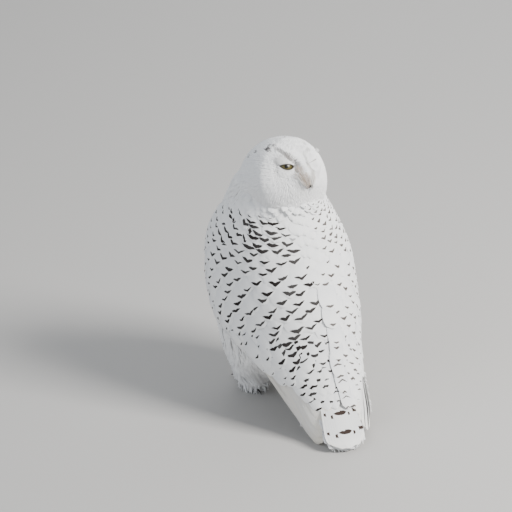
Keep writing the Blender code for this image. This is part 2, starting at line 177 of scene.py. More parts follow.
def merged_copy(nodes, name):
    """One mesh of copies of some CAD nodes, with their loose triangles merged."""
    copies = []
    for node in nodes:
        copy = frame["nodes"][node].copy()
        copy.data = copy.data.copy()
        bpy.context.scene.collection.objects.link(copy)
        copies.append(copy)
    make_active(copies[0])
    for copy in copies:
        copy.select_set(True)
    if len(copies) > 1:
        bpy.ops.object.join()
    piece = bpy.context.object
    piece.name = name
    piece.data.name = name
    piece.parent = None
    bpy.ops.object.mode_set(mode="EDIT")
    bpy.ops.mesh.select_all(action="SELECT")
    bpy.ops.mesh.remove_doubles(threshold=0.02 * MM)
    bpy.ops.mesh.normals_make_consistent(inside=False)
    bpy.ops.object.mode_set(mode="OBJECT")
    piece.data.materials.clear()
    return piece


def apply_modifier(piece, kind, **settings):
    make_active(piece)
    step = piece.modifiers.new(kind.lower(), kind)
    for key, value in settings.items():
        setattr(step, key, value)
    bpy.ops.object.modifier_apply(modifier=step.name)


def points_of(mesh, field="co"):
    flat = np.empty(len(mesh.vertices) * 3)
    mesh.vertices.foreach_get(field, flat)
    return flat.reshape(-1, 3)


def surface_of(piece):
    """A search tree of a piece's faces."""
    corners = [vertex.co for vertex in piece.data.vertices]
    return BVHTree.FromPolygons(corners, [face.vertices for face in piece.data.polygons])


def set_numbers(mesh, name, values):
    """Stores one number on each vertex, for a material to read."""
    mesh.attributes.new(name, "FLOAT", "POINT").data.foreach_set("value", values)


def unit(vectors):
    return vectors / np.maximum(np.linalg.norm(vectors, axis=-1, keepdims=True), 1e-9)


def fade(value, low, high):
    """From 0 to 1, smoothly, as the value goes from low to high; high may be below low."""
    t = np.clip((np.asarray(value, float) - low) / (high - low), 0, 1)
    return t * t * (3 - 2 * t)


# ---- materials ----

class Recipe:
    """Builds one material from nodes; each call returns an output socket."""

    def __init__(self, name, colour, roughness, gloss=0.5):
        self.material = bpy.data.materials.new(name)
        self.material.use_nodes = True
        self.tree = self.material.node_tree
        self.shader = self.tree.nodes["Principled BSDF"]
        self.shader.inputs["Base Color"].default_value = (*colour, 1)
        self.shader.inputs["Roughness"].default_value = roughness
        self.shader.inputs["Specular IOR Level"].default_value = gloss

    def node(self, kind, inputs=(), **settings):
        made = self.tree.nodes.new("ShaderNode" + kind)
        for key, value in settings.items():
            setattr(made, key, value)
        for key, value in dict(inputs).items():
            self.plug(value, made.inputs[key])
        return made

    def plug(self, value, socket):
        if isinstance(value, bpy.types.NodeSocket):
            self.tree.links.new(value, socket)
        else:
            socket.default_value = value

    def math(self, operation, *values):
        return self.node("Math", enumerate(values), operation=operation).outputs[0]

    def times(self, first, second):
        return self.math("MULTIPLY", first, second)

    def vector(self, operation, *values):
        made = self.node("VectorMath", enumerate(values), operation=operation)
        return made.outputs["Value" if operation in ("DOT_PRODUCT", "LENGTH") else "Vector"]

    def ramp(self, value, low, high):
        """From 0 to 1, smoothly, as the value goes from low to high."""
        made = self.node("MapRange", {0: value, 1: low, 2: high}, interpolation_type="SMOOTHSTEP")
        return made.outputs[0]

    def attribute(self, name):
        return self.node("Attribute", attribute_name=name).outputs["Fac"]

    def place(self):
        return self.node("TexCoord").outputs["Object"]

    def vane(self):
        """A feather's own map: as a vector, the distance off the shaft and that from the tip."""
        place = self.node("UVMap", uv_map="vane").outputs[0]
        across, to_tip = self.node("SeparateXYZ", {0: place}).outputs[:2]
        return place, self.math("ABSOLUTE", across), to_tip

    def mix(self, share, first, second):
        made = self.node("Mix", data_type="RGBA")
        self.plug(share, made.inputs[0])
        for value, socket in ((first, made.inputs[6]), (second, made.inputs[7])):
            self.plug(value if isinstance(value, bpy.types.NodeSocket) else (*value, 1), socket)
        return made.outputs[2]

    def noise(self, scale, detail=2.0, vector=None):
        inputs = {"Vector": vector or self.place(), "Scale": scale, "Detail": detail}
        return self.node("TexNoise", inputs).outputs["Fac"]

    def colour(self, value):
        self.plug(value, self.shader.inputs["Base Color"])

    def relief(self, height, distance, strength=1.0):
        bump = self.node("Bump", {"Height": height, "Distance": distance, "Strength": strength})
        self.plug(bump.outputs[0], self.shader.inputs["Normal"])


WHITE = (0.86, 0.86, 0.85)
SHADOW_WHITE = (0.74, 0.75, 0.77)
SKIN_MARKING_AND_SHADE = (0.05, 0.038, 0.032)
# On a vane: painted shade where the next feather covers it, the cream shaft, and painted shade along
# the rim.
COVERED_SHADE, SHAFT, RIM_SHADE = (0.50, 0.53, 0.58), (0.68, 0.62, 0.52), (0.56, 0.57, 0.60)


def skin_material():
    recipe = Recipe("skin", WHITE, 0.8, 0.2)
    base = recipe.mix(recipe.noise(160.0), SHADOW_WHITE, WHITE)
    recipe.colour(recipe.mix(recipe.attribute("marking_and_shade"), base, SKIN_MARKING_AND_SHADE))
    return recipe.material


def vane_material(name, pale, dark):
    """Feather vanes with gull-wing marks, repeated up the vane, and fine barbs.

    Each feather carries: mark, how strong its marks are; place, how far the first is from the tip,
    in feather widths; period, from one mark to the next; span and thick, the mark's reach to the
    sides and its thickness; bend, how steeply its arms rise; tint, how creamy the vane is."""
    recipe = Recipe(name, WHITE, 0.75, 0.15)
    step, times, ramp, carried = recipe.math, recipe.times, recipe.ramp, recipe.attribute
    vane, side, to_tip = recipe.vane()
    seed, period, tint = carried("seed"), carried("period"), carried("tint")
    shift = recipe.node("CombineXYZ", {0: seed, 1: seed, 2: seed}).outputs[0]
    ragged = recipe.noise(3.0, 4.0, recipe.vector("ADD", vane, shift))
    wobble = times(step("SUBTRACT", ragged, 0.5), 0.11)
    # each mark's middle line, and how far a point lies off the nearest one
    arm = times(step("POWER", side, 0.85), carried("bend"))
    past = step("SUBTRACT", step("SUBTRACT", to_tip, carried("place")), arm)
    half = times(period, 0.5)
    off = step("WRAP", step("ADD", past, wobble), half, times(half, -1.0))
    # how much room the mark's thickness leaves there, which shrinks to nothing at its ends
    reach = step("POWER", step("DIVIDE", side, carried("span")), 2.4)
    room = times(carried("thick"), step("SUBTRACT", 1.0, reach))
    room = step("SUBTRACT", room, step("ABSOLUTE", off))
    started = ramp(step("DIVIDE", past, period), -0.42, -0.36)
    mask = times(times(ramp(room, -0.010, 0.018), carried("mark")), started)
    plain = recipe.mix(tint, WHITE, pale)
    # painted shade, darker towards the root of the vane, where the next feather covers it
    depth = times(ramp(to_tip, 0.20, 0.95), 0.60)
    plain = recipe.mix(depth, plain, recipe.mix(0.45, plain, COVERED_SHADE))
    plain = recipe.mix(times(times(ramp(side, 0.05, 0.02), tint), 0.5), plain, SHAFT)
    # painted shade along the rim of the vane, which outlines each feather
    plain = recipe.mix(times(ramp(side, 0.72, 1.0), 0.28), plain, RIM_SHADE)
    recipe.colour(recipe.mix(mask, plain, dark))
    barb = step("ADD", times(to_tip, 150.0), times(side, 75.0))
    ridge = step("ADD", step("SINE", barb), ramp(side, 0.06, 0.0))
    recipe.relief(ridge, 0.12 * MM, 0.5)
    return recipe.material


# ---- skin ----

class Solids:
    """All the solids of flesh as one search tree, which also tells whose surface is nearest."""

    def __init__(self, nodes):
        corners, faces, self.names = [], [], []
        for node in nodes:
            mesh = frame["nodes"][node].data
            first = len(corners)
            corners += [vertex.co.copy() for vertex in mesh.vertices]
            faces += [[first + i for i in face.vertices] for face in mesh.polygons]
            self.names += [node] * len(mesh.polygons)
        self.tree = BVHTree.FromPolygons(corners, faces)

    def owner(self, place):
        return self.names[self.tree.find_nearest(place)[2]]


def neighbour_mean(mesh, values, rounds):
    """Evens out a value on each vertex with those of its neighbours."""
    ends = np.empty(len(mesh.edges) * 2, dtype=np.int64)
    mesh.edges.foreach_get("vertices", ends)
    first, second = ends.reshape(-1, 2).T
    count = np.bincount(ends, minlength=len(values))
    for _ in range(rounds):
        total = np.bincount(first, values[second], len(values))
        total += np.bincount(second, values[first], len(values))
        values = (values + total / count) / 2
    return values


SKIN_GRAIN = 3.4 * MM
# The coat takes at most this share of a thin part.
THIN_SHARE = 0.3


def add_skin():
    """One closed skin through all the flesh, drawn in by the depth of the coat."""
    skin = merged_copy(FLESH, "skin")
    apply_modifier(skin, "DISPLACE", strength=0.6 * MM, mid_level=0.0)
    apply_modifier(skin, "REMESH", mode="VOXEL", voxel_size=SKIN_GRAIN)
    apply_modifier(skin, "SMOOTH", factor=0.5, iterations=4)
    hull = surface_of(skin)
    places, normals = points_of(skin.data), points_of(skin.data, "normal")
    depth = np.empty(len(places))
    for i, (place, normal) in enumerate(zip(places, normals)):
        part = solids.owner(place).split("_")[0]
        hit = hull.ray_cast(Vector(place - normal * 0.3 * MM), Vector(-normal))
        thickness = hit[3] if hit[0] else 1.0
        depth[i] = min(COAT_DEPTH[part] * MM, THIN_SHARE * thickness)
    depth = neighbour_mean(skin.data, depth, 6)
    skin.data.vertices.foreach_set("co", (places - normals * depth[:, None]).ravel())
    skin.data.update()
    apply_modifier(skin, "SMOOTH", factor=0.5, iterations=3)
    make_active(skin)
    bpy.ops.object.shade_smooth()
    skin.data.materials.append(skin_material())
    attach(skin, "root")
    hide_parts(*FLESH)
    return skin


# Where the coat is dark, for the skin below it: places, their reach, and how dark they are.
STAINS = []
STAIN_EDGE = 1.5 * MM
# The skin above this height takes the marks of the head.
HEAD_LEVEL = 0.38


def note_stains(places, reach, strength):
    for place, amount in zip(places, np.broadcast_to(strength, len(places))):
        if amount > 0.1:
            STAINS.append((Vector(place), reach, float(amount)))


def path_lengths(paths):
    return np.linalg.norm(np.diff(paths, axis=1), axis=2).sum(axis=1)


def stain_vanes(spine, upright, half_width, marks):
    """Notes the first mark of each vane, arm by arm."""
    along = unit(spine[:, -1] - spine[:, -2])
    sideways = unit(np.cross(along, upright[:, -1]))
    last = spine.shape[1] - 1
    rows = np.arange(len(spine))
    for arm in (-0.8, -0.4, 0.0, 0.4, 0.8):
        aside = arm * marks["span"] * half_width
        up = (marks["place"] + abs(arm) * marks["bend"]) * 2 * half_width
        share = np.clip(1 - up / path_lengths(spine), 0, 1) * last
        low = np.minimum(share.astype(int), last - 1)
        part = (share - low)[:, None]
        middle = spine[rows, low] * (1 - part) + spine[rows, low + 1] * part
        note_stains(middle + sideways * aside[:, None], 2.2 * MM, marks["mark"])


def mark_skin():
    """Gives the skin the same markings, and the same painted brow shade, as the coat that stands on
    it.
    """
    places = points_of(skin.data)
    finder = KDTree(len(places))
    for i, place in enumerate(places):
        finder.insert(place, i)
    finder.balance()
    marking_and_shade = np.zeros(len(places))
    for place, reach, strength in STAINS:
        foot = ground.find_nearest(place)[0]
        for _, i, gap in finder.find_range(foot, reach + STAIN_EDGE):
            marking_and_shade[i] = max(marking_and_shade[i], strength * float(fade(gap, reach + STAIN_EDGE, reach)))
    head = places[:, 2] > HEAD_LEVEL
    marking_and_shade[head] = np.maximum(marking_and_shade[head], head_marks_and_brow_shade(places[head], np.random.default_rng(51)))
    set_numbers(skin.data, "marking_and_shade", marking_and_shade)


# ---- feather shapes ----

def pick(piece, indices, kind="VERT"):
    """Selects just these vertices or edges of a piece, and edits it."""
    if piece.mode != "EDIT":
        bpy.ops.object.mode_set(mode="EDIT")
    bpy.ops.mesh.select_mode(type=kind)
    bpy.ops.mesh.select_all(action="DESELECT")
    bpy.ops.object.mode_set(mode="OBJECT")
    elements = piece.data.vertices if kind == "VERT" else piece.data.edges
    for i in indices:
        elements[i].select = True
    bpy.ops.object.mode_set(mode="EDIT")


def blade(columns, rows, outline, camber, crowd=1.3):
    """A closed feather blade: arched above, flat below, from its root at y = 0 to its tip at y = 1.

    outline(y) is its half width there, at most 1, and camber is how high its shaft arches."""
    deselect()
    bpy.ops.mesh.primitive_grid_add(x_subdivisions=columns, y_subdivisions=rows, size=2)
    piece = bpy.context.object
    stride = columns + 1
    for row in range(rows + 1):
        before = -1 + 2 * row / rows
        level = 1 - (1 - row / rows) ** crowd
        pick(piece, range(row * stride, (row + 1) * stride))
        bpy.ops.transform.resize(value=(outline(level), 1, 1), center_override=(0, before, 0))
        bpy.ops.transform.translate(value=(0, level - before, 0))
    for column in range(1, columns):
        across = -1 + 2 * column / columns
        pick(piece, range(column, (rows + 1) * stride, stride))
        bpy.ops.transform.translate(value=(0, 0, camber * (1 - across ** 2)))
    ends = {row * stride + end for row in range(rows + 1) for end in (0, columns)}
    bpy.ops.object.mode_set(mode="OBJECT")
    pairs = [(edge.index, *sorted(edge.vertices)) for edge in piece.data.edges]
    pick(piece, [i for i, a, b in pairs if {a, b} <= ends and b - a == stride], "EDGE")
    bpy.ops.mesh.bridge_edge_loops()
    bpy.ops.mesh.select_all(action="SELECT")
    bpy.ops.mesh.fill_holes(sides=0)
    bpy.ops.mesh.select_all(action="SELECT")
    bpy.ops.mesh.normals_make_consistent(inside=False)
    bpy.ops.object.mode_set(mode="OBJECT")
    return piece


def fan(piece, turns, sizes):
    """Joins turned and shortened copies of a blade at its root into one tuft."""
    make_active(piece)
    bpy.ops.object.mode_set(mode="EDIT")
    count = len(piece.data.vertices)
    for turn, size in zip(turns, sizes):
        pick(piece, range(count))
        bpy.ops.mesh.duplicate()
        bpy.ops.transform.resize(value=(1, size, 1), center_override=(0, 0, 0))
        bpy.ops.transform.rotate(value=turn, orient_axis="Z", center_override=(0, 0, 0))
    bpy.ops.object.mode_set(mode="OBJECT")
    return piece


class Shape:
    """A finished feather's arrays; undersides come first, so that a map shows the upper side."""

    def __init__(self, piece):
        mesh = piece.data
        order = sorted(mesh.polygons, key=lambda face: face.normal.z > 0.05)
        self.points = points_of(mesh)
        self.corners = np.concatenate([list(face.vertices) for face in order])
        self.counts = np.array([len(face.vertices) for face in order])
        bpy.data.objects.remove(piece)


def vane_outline(widest, root, tip, power=2.3):
    """Half widths of a rounded vane: root and tip are its half widths at its ends."""
    def half_width(y):
        if y < widest:
            return root + (1 - root) * sin(pi / 2 * y / widest) ** 0.8
        return tip + (1 - tip) * max(0.0, 1 - ((y - widest) / (1 - widest)) ** power) ** (1 / power)
    return half_width


# ---- planting ----

# A path within this reach of the skin is laid over it, and one right at the skin always is.
REACH, CLOSE = 12 * MM, 2 * MM
FLOOR_GAP = 0.3 * MM


def drape(paths, lifts):
    """Lays paths of points over the skin, each at its lift above it, and finds the way up there.

    Where a path runs out past the skin's edge it goes straight on."""
    upright = np.empty_like(paths)
    draped = paths.copy()
    for i, path in enumerate(paths):
        up = Vector((0, 0, 1))
        for k, point in enumerate(path):
            point = Vector(point)
            near, normal, _, gap = ground.find_nearest(point)
            off = point - near
            if gap < CLOSE or (gap < REACH and abs(off.dot(normal)) > 0.75 * gap):
                up = normal
                draped[i, k] = near + normal * lifts[i, k]
            upright[i, k] = up
    return draped, upright


class Coat:
    """Collects planted feathers and makes one mesh of them."""

    def __init__(self, name, finish, slot="coat"):
        self.name, self.finish, self.slot = name, finish, slot
        self.points, self.corners, self.counts = [], [], []
        self.maps, self.marks = {"vane": [], "OFBake": []}, {}

    def plant(self, shape, spine, upright, half_width, patch, patch_size, **marks):
        """Bends one copy of a shape along each spine.

        patch is the middle of each copy's place on the unwrap of the skin, and patch_size its
        width and height there. marks hold one number for each copy, which the finish reads."""
        copies, knots = spine.shape[:2]
        half_width = np.broadcast_to(half_width, copies)
        along = np.gradient(spine, axis=1)
        across = unit(np.cross(along, upright))
        rise = unit(np.cross(across, along))
        x, y, z = shape.points.T
        t = np.clip(y, 0, 1) * (knots - 1)
        low = np.minimum(t.astype(int), knots - 2)
        share = (t - low)[None, :, None]

        def at(values):
            return values[:, low] * (1 - share) + values[:, low + 1] * share

        wide = half_width[:, None, None]
        points = at(spine) + at(across) * x[:, None] * wide + at(rise) * z[:, None] * wide
        points[..., 2] = np.maximum(points[..., 2], FLOOR_GAP)
        starts = sum(map(len, self.points)) + len(x) * np.arange(copies)
        loop = shape.corners
        to_tip = (1 - y[loop]) * (path_lengths(spine) / half_width / 2)[:, None]
        inside = np.stack([x[loop], y[loop] * 2 - 1], axis=1) * 0.5
        self.points.append(points.reshape(-1, 3))
        self.corners.append((loop + starts[:, None]).ravel())
        self.counts.append(np.tile(shape.counts, copies))
        vane = np.stack([np.broadcast_to(x[loop], to_tip.shape), to_tip], axis=2)
        self.maps["vane"].append(vane.reshape(-1, 2))
        self.maps["OFBake"].append((patch[:, None, :] + inside * patch_size).reshape(-1, 2))
        for key, value in marks.items():
            spread = np.repeat(np.broadcast_to(value, copies), len(x))
            self.marks.setdefault(key, []).append(spread)

    def finish_piece(self):
        points, corners, counts = map(np.concatenate, (self.points, self.corners, self.counts))
        mesh = bpy.data.meshes.new(self.name)
        mesh.vertices.add(len(points))
        mesh.vertices.foreach_set("co", points.ravel())
        mesh.loops.add(len(corners))
        mesh.loops.foreach_set("vertex_index", corners)
        mesh.polygons.add(len(counts))
        mesh.polygons.foreach_set("loop_start", np.cumsum(counts) - counts)
        for name, uv in self.maps.items():
            mesh.uv_layers.new(name=name).data.foreach_set("uv", np.concatenate(uv).ravel())
        mesh.update(calc_edges=True)
        for name in sorted(self.marks):
            set_numbers(mesh, name, np.concatenate(self.marks[name]))
        piece = bpy.data.objects.new(self.name, mesh)
        bpy.context.scene.collection.objects.link(piece)
        make_active(piece)
        bpy.ops.object.shade_smooth_by_angle(angle=radians(55))
        mesh.materials.append(self.finish)
        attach(piece, "root")
        print(f"{self.name}: {(counts - 2).sum()} triangles")


# The size of a small feather's place on the unwrap of the skin.
TUFT_PATCH = (0.003, 0.003)


def plant_piece(name, finish, shape, spine, upright, half_width, patch, **marks):
    """A piece of the coat that holds one kind of small feather."""
    coat = Coat(name, finish)
    coat.plant(shape, spine, upright, half_width, patch, TUFT_PATCH, **marks)
    coat.finish_piece()


# ---- camera, light and floor ----

CAMERA_AZIMUTH, CAMERA_ELEVATION, CAMERA_DISTANCE = radians(155), radians(25), 8.0
SENSOR_WIDTH, FRAME_WIDTH = 36.0, 0.922
# How far the camera aims to the right of the model's middle and above it, as it sees them.
AIM_RIGHT, AIM_UP = -0.0445, 0.2317
# The lights: how far to the camera's right, towards it and up they stand, size, power and colour.
# They all point at the lit place.
LIGHTS = {"key": (2.2, 1.0, 1.9, 1.1, 225, (1.0, 0.985, 0.96)),
          "fill": (-2.4, 1.8, 1.3, 2.5, 40, (0.84, 0.91, 1.0)),
          "front": (0.6, -2.4, 2.6, 2.5, 30, (0.96, 0.98, 1.0))}
LIT_PLACE = Vector((0, 0, 0.22))


def put(name, data, place, way):
    """Places a camera or a lamp so that it looks a given way."""
    made = bpy.data.objects.new(name, data)
    made.location = place
    made.rotation_euler = way.to_track_quat("-Z", "Y").to_euler()
    bpy.context.scene.collection.objects.link(made)
    return made


def add_stage():
    back = Vector((sin(CAMERA_AZIMUTH) * cos(CAMERA_ELEVATION),
                   -cos(CAMERA_AZIMUTH) * cos(CAMERA_ELEVATION), sin(CAMERA_ELEVATION)))
    right = Vector((cos(CAMERA_AZIMUTH), sin(CAMERA_AZIMUTH), 0))
    aim = MIDDLE + AIM_RIGHT * right + AIM_UP * back.cross(right)
    lens = bpy.data.cameras.new("camera")
    lens.sensor_width = SENSOR_WIDTH
    lens.lens = SENSOR_WIDTH * CAMERA_DISTANCE / FRAME_WIDTH
    bpy.context.scene.camera = put("camera", lens, aim + back * CAMERA_DISTANCE, -back)
    for name, (aside, nearer, height, size, power, colour) in LIGHTS.items():
        lamp = bpy.data.lights.new(name, "AREA")
        lamp.size, lamp.energy, lamp.color = size, power, colour
        place = right * aside + back * nearer + Vector((0, 0, height))
        put(name, lamp, place, LIT_PLACE - place)
    world = bpy.data.worlds.new("studio")
    world.use_nodes = True
    background = world.node_tree.nodes["Background"]
    background.inputs["Color"].default_value = (0.92, 0.95, 1.0, 1)
    background.inputs["Strength"].default_value = 0.60
    bpy.context.scene.world = world

    deselect()
    bpy.ops.mesh.primitive_plane_add(size=12.0)
    floor = bpy.context.object
    floor.name = "floor"
    floor.data.materials.append(Recipe("floor_paper", (0.40, 0.39, 0.375), 0.9).material)


# ---- the back and the folded wings ----

BACK_COLUMNS = 8
# The highest row of covering feathers and the lowest height a row may start from.
TOP_ROW, LAST_ROW = 0.398, 0.046


def row_spacing(height):
    """Rows of feathers lie closer together at the shoulders and above the wing tips."""
    return (14.0 - 5.0 * fade(height, 0.27, 0.32) - 1.5 * fade(height, 0.36, 0.38)
            - 2.5 * fade(height, 0.16, 0.11)) * MM


def flight_edge(across):
    """The height at which the long cream flight feathers come out from under the others."""
    return (112 - 57 * np.clip((across - 0.10) / 0.6, 0, 1) + 130 * np.clip(0.10 - across, 0, 1)) * MM


def back_lattice(side, rng):
    """Height of the tip and place across of every covering feather on one side of the back."""
    def furthest(height):
        """The right side's lower feathers stop short of the spine, and the left's run over it."""
        return np.where((side < 0) & (height < 0.25), 0.95, 1.03)

    rows = []
    height, row = TOP_ROW, 0
    while height > LAST_ROW:
        for j in range(BACK_COLUMNS + 2):
            across = (j + 0.25 + 0.5 * (row % 2)) / BACK_COLUMNS
            if across <= furthest(height):
                rows.append((height, across))
        height -= float(row_spacing(height))
        row += 1
    rows = np.array(rows)
    height = rows[:, 0] + rng.normal(0, 1.3 * MM, len(rows))
    across = rows[:, 1] + rng.normal(0, 0.09 / BACK_COLUMNS, len(rows))
    across = np.clip(across, 0.02, np.where(height < 0.25, furthest(height), 1.0))
    # rows tilt a little, lower towards the front edge of the wing
    height -= 9 * MM * fade(across, 0.45, 0.05) * fade(height, 0.15, 0.2)
    kept = height > flight_edge(across) - rng.uniform(0, 5, len(height)) * MM
    return height[kept], across[kept]


def back_normals(heights, across, side):
    """The way out of the back at each point."""
    def at(rise, over):
        flat = back_surface((heights + rise).ravel(), (across + over).ravel(), side)
        return flat.reshape(*heights.shape, 3)
    upward = at(1.5 * MM, 0) - at(-1.5 * MM, 0)
    inward = at(0, 0.01) - at(0, -0.01)
    normal = np.cross(inward, upward) * side
    return normal / np.linalg.norm(normal, axis=2, keepdims=True)


def back_paths(tip_height, tip_across, length, turn, side, steps):
    """Paths up the back's surface that end at the tips, the way out of it, and their heights.

    turn is how far across the root lies from the tip."""
    slope = np.linalg.norm(back_surface(tip_height + 4 * MM, tip_across, side)
                           - back_surface(tip_height, tip_across, side), axis=1) / (4 * MM)
    t = np.linspace(1, 0, steps)
    heights = tip_height[:, None] + (length / slope)[:, None] * t
    across = tip_across[:, None] + turn[:, None] * t
    paths = [back_surface(heights[:, k], across[:, k], side) for k in range(steps)]
    return np.stack(paths, axis=1), back_normals(heights, across, side), heights


# How far across the marks reach on each side: heights, and the places across where the white begins.
WHITE_WEDGE = {1: ((0.20, 0.25, 0.285, 0.325, 0.355, 0.375), (1.2, 1.0, 0.96, 0.90, 0.80, 0.66)),
               -1: ((0.20, 0.25, 0.27, 0.31, 0.36, 0.40), (1.2, 1.0, 0.90, 0.84, 0.86, 0.90))}
# How high up the marks begin on each side: none above the first height, full from the second.
TOP_MARKS = {1: (0.374, 0.358), -1: (0.402, 0.388)}
# The smudged patch over the left wing's tip: its place across and height, and its reach in both.
SMUDGE = (0.66, 0.142, 0.13, 0.014)
COVERT_PATCH = (0.055, 0.026)


def back_marks(tip, across, inner, low, droop, side, rng):
    """The marks of the covering feathers.

    inner is where the white begins, low says which feathers lie above the wing tips, and droop
    which lie beside the spine above the tail."""
    count = len(tip)
    left = side > 0
    # marks fade towards the spine and the nape, and are smaller at the front edge of the wing
    strength = fade(across, inner + 0.06, inner - 0.05) * fade(tip, *TOP_MARKS[side])
    strength *= rng.random(count) > 0.04
    span = (0.38 + 0.27 * fade(across, 0.06, 0.3)) * rng.uniform(0.80, 1.08, count)
    thick = (0.078 + 0.012 * low) * rng.uniform(0.75, 1.2, count)
    # few and faint marks above the wing tip, and a darker, smudged patch over them
    faint = low * fade(across, 0.62, 0.45) * fade(tip, 0.135, 0.118)
    strength *= 1 - faint * np.where(rng.random(count) < 0.7, 0.9, 0.35)
    x, z, wide, high = SMUDGE
    smudge = np.exp(-((across - x) / wide) ** 2 - ((tip - z) / high) ** 2) * left
    edge = fade(tip, 0.175, 0.150) * fade(across, 0.56, 0.40)
    # beside the spine, above the tail, fewer feathers carry broad marks whose arms droop
    strength *= 1 - droop * (rng.random(count) < 0.35)
    # broad, dark marks high on the shoulder
    shoulder = fade(tip, 0.29, 0.32) * fade(across, 0.25, 0.5) * left
    span *= (1 + 0.4 * smudge) * (1 - 0.35 * edge) * (1 + 0.95 * droop) * (1 + 0.32 * shoulder)
    thick *= (1 + 0.35 * smudge) * (1 - 0.45 * edge) * (1 - 0.2 * droop) * (1 + 0.12 * shoulder)
    # a weak mark is small rather than grey
    thick *= 0.5 + 0.5 * strength
    span *= 0.35 + 0.65 * strength
    strength = fade(strength, 0.06, 0.25) * rng.uniform(0.955, 1.0, count)
    # on the right side the marks are smaller, and a little fainter as painted light of the lit side
    if not left:
        strength *= 0.95
        span *= 0.72
        thick *= 0.80
    return {"mark": strength, "place": rng.uniform(0.10, 0.19, count),
            "period": np.where(smudge > 0.25, 0.40, np.where(low > 0.5, 0.75, 0.95)),
            "span": span, "thick": thick,
            "bend": (0.19 - 0.06 * low - 0.34 * droop) * rng.uniform(0.5, 1.3, count),
            "tint": np.zeros(count), "seed": rng.uniform(0, 50, count)}


def plant_back(coat, shapes, side, rng):
    tip, across = back_lattice(side, rng)
    count = len(tip)
    column = np.linalg.norm(back_surface(tip, across + 0.5 / BACK_COLUMNS, side)
                            - back_surface(tip, across - 0.5 / BACK_COLUMNS, side), axis=1)
    # regions: the big feathers of the lower back, those above the wing tips, and those beside the
    # spine above the tail; the right wing's raised inner edge; the nape and the ruffled upper back
    big = fade(across, 0.55, 0.72) * fade(tip, 0.285, 0.255) * fade(tip, 0.165, 0.185)
    low = fade(tip, 0.17, 0.14)
    droop = low * fade(across, 0.5, 0.7) * fade(tip, 0.125, 0.10)
    ridge = fade(across, 0.80, 0.93) * fade(tip, 0.25, 0.2) * (side < 0)
    nape = fade(tip, 0.362, 0.384) * fade(across, 0.45, 0.75)
    ruffled = fade(tip, 0.30, 0.33) * fade(across, 0.6, 0.8)
    length = 2.8 * row_spacing(tip) + (9 + 12 * big + 22 * low - 5 * fade(tip, 0.325, 0.345)) * MM
    paths, upright, _ = back_paths(tip, across, length, rng.normal(0, 0.022, count), side, 6)
    root_lift = 0.4 + rng.uniform(0, 0.5, count) + 3.0 * ridge + 1.5 * fade(tip, 0.16, 0.12)
    tip_lift = 2.6 + 1.2 * big + 7.0 * nape + rng.uniform(-0.6, 1.6, count) * ruffled
    lift = root_lift[:, None] + tip_lift[:, None] * np.linspace(0, 1, 6)
    spine = paths + upright * lift[:, :, None] * MM
    half_width = np.minimum(0.74 * column, 18 * MM) * rng.uniform(0.92, 1.08, count)
    half_width *= (1 + 0.15 * big) * (1 + 0.35 * droop)
    half_width *= (0.72 + 0.28 * fade(across, 0.04, 0.2)) * (1 - 0.22 * fade(tip, 0.355, 0.375))
    inner = np.interp(tip, *WHITE_WEDGE[side])
    marks = back_marks(tip, across, inner, low, droop, side, rng)
    stain_vanes(spine, upright, half_width, marks)
    patch = np.stack([0.05 + 0.82 * across, 0.04 + 0.92 * (tip + 25 * MM) / 0.43], axis=1)
    # the white feathers of the nape are looser and pointed, and of the last shape
    loose = (across > inner + 0.02) & (tip > 0.30)
    kinds = np.where(loose, 2, rng.integers(0, 2, count))
    for kind, shape in enumerate(shapes):
        chosen = kinds == kind
        coat.plant(shape, spine[chosen], upright[chosen], half_width[chosen], patch[chosen],
                   COVERT_PATCH, **{key: value[chosen] for key, value in marks.items()})


# Long flight feathers from the wing's front edge inward: tip's place across, and tip's height in mm.
PRIMARIES = ((0.02, 45), (0.08, 27), (0.16, 11), (0.27, 6), (0.38, 9), (0.48, 18), (0.57, 30),
             (0.66, 43), (0.74, 54))
# The right wing's outer tips end this much higher, and all the feathers are about this long.
RIGHT_WING_RISE = 9 * MM
FLIGHT_LENGTH = 0.178
# How far the wing tips lean: the left in to the tail, and the right a little out.
WING_LEAN = {1: (-7 * MM, 3 * MM, -5 * MM), -1: (-10 * MM, 0, 0)}
# How creamy each wing's flight feathers are; the right wing's paler cream is painted light.
CREAM = {1: 1.0, -1: 0.35}


def wing_lean(heights, across, side):
    share = fade(heights, 0.09, 0.02) * fade(across, 0.6, 0.1)
    return np.array(WING_LEAN[side]) * share[..., None]


def plant_flight(coat, shape, side, rng):
    """The folded wing's long flight feathers, each lying a little over the one outside it."""
    across, height = np.array(PRIMARIES).T
    height = height * MM + (RIGHT_WING_RISE if side < 0 else 0.0) * fade(across, 0.6, 0.0)
    count = len(across)
    paths, upright, heights = back_paths(height, across, np.full(count, FLIGHT_LENGTH),
                                         -0.16 * across, side, 14)
    t = np.linspace(0, 1, 14)
    lift = (0.6 + 0.42 * np.arange(count))[:, None] * (0.1 + 0.9 * fade(t, 0.55, 0.85)) + 0.4 * t
    spine = paths + upright * lift[:, :, None] * MM + wing_lean(heights, across[:, None], side)
    half_width = (13.5 + 1.0 * (across > 0.3)) * MM
    patch = np.stack([0.08 + 0.84 * across / 0.8, np.full(count, 0.5)], axis=1)
    coat.plant(shape, spine, upright, half_width, patch, (0.085, 0.9), mark=0.0, place=0.3,
               period=2.0, span=0.6, thick=0.05, bend=0.1,
               tint=rng.uniform(0.75, 1.0, count) * CREAM[side], seed=rng.uniform(0, 50, count))


# Where the fluff stands out from under the right wing: between these heights and places across.
FLUFF_HEIGHTS, FLUFF_ACROSS = (0.036, 0.092), (0.12, 0.30)


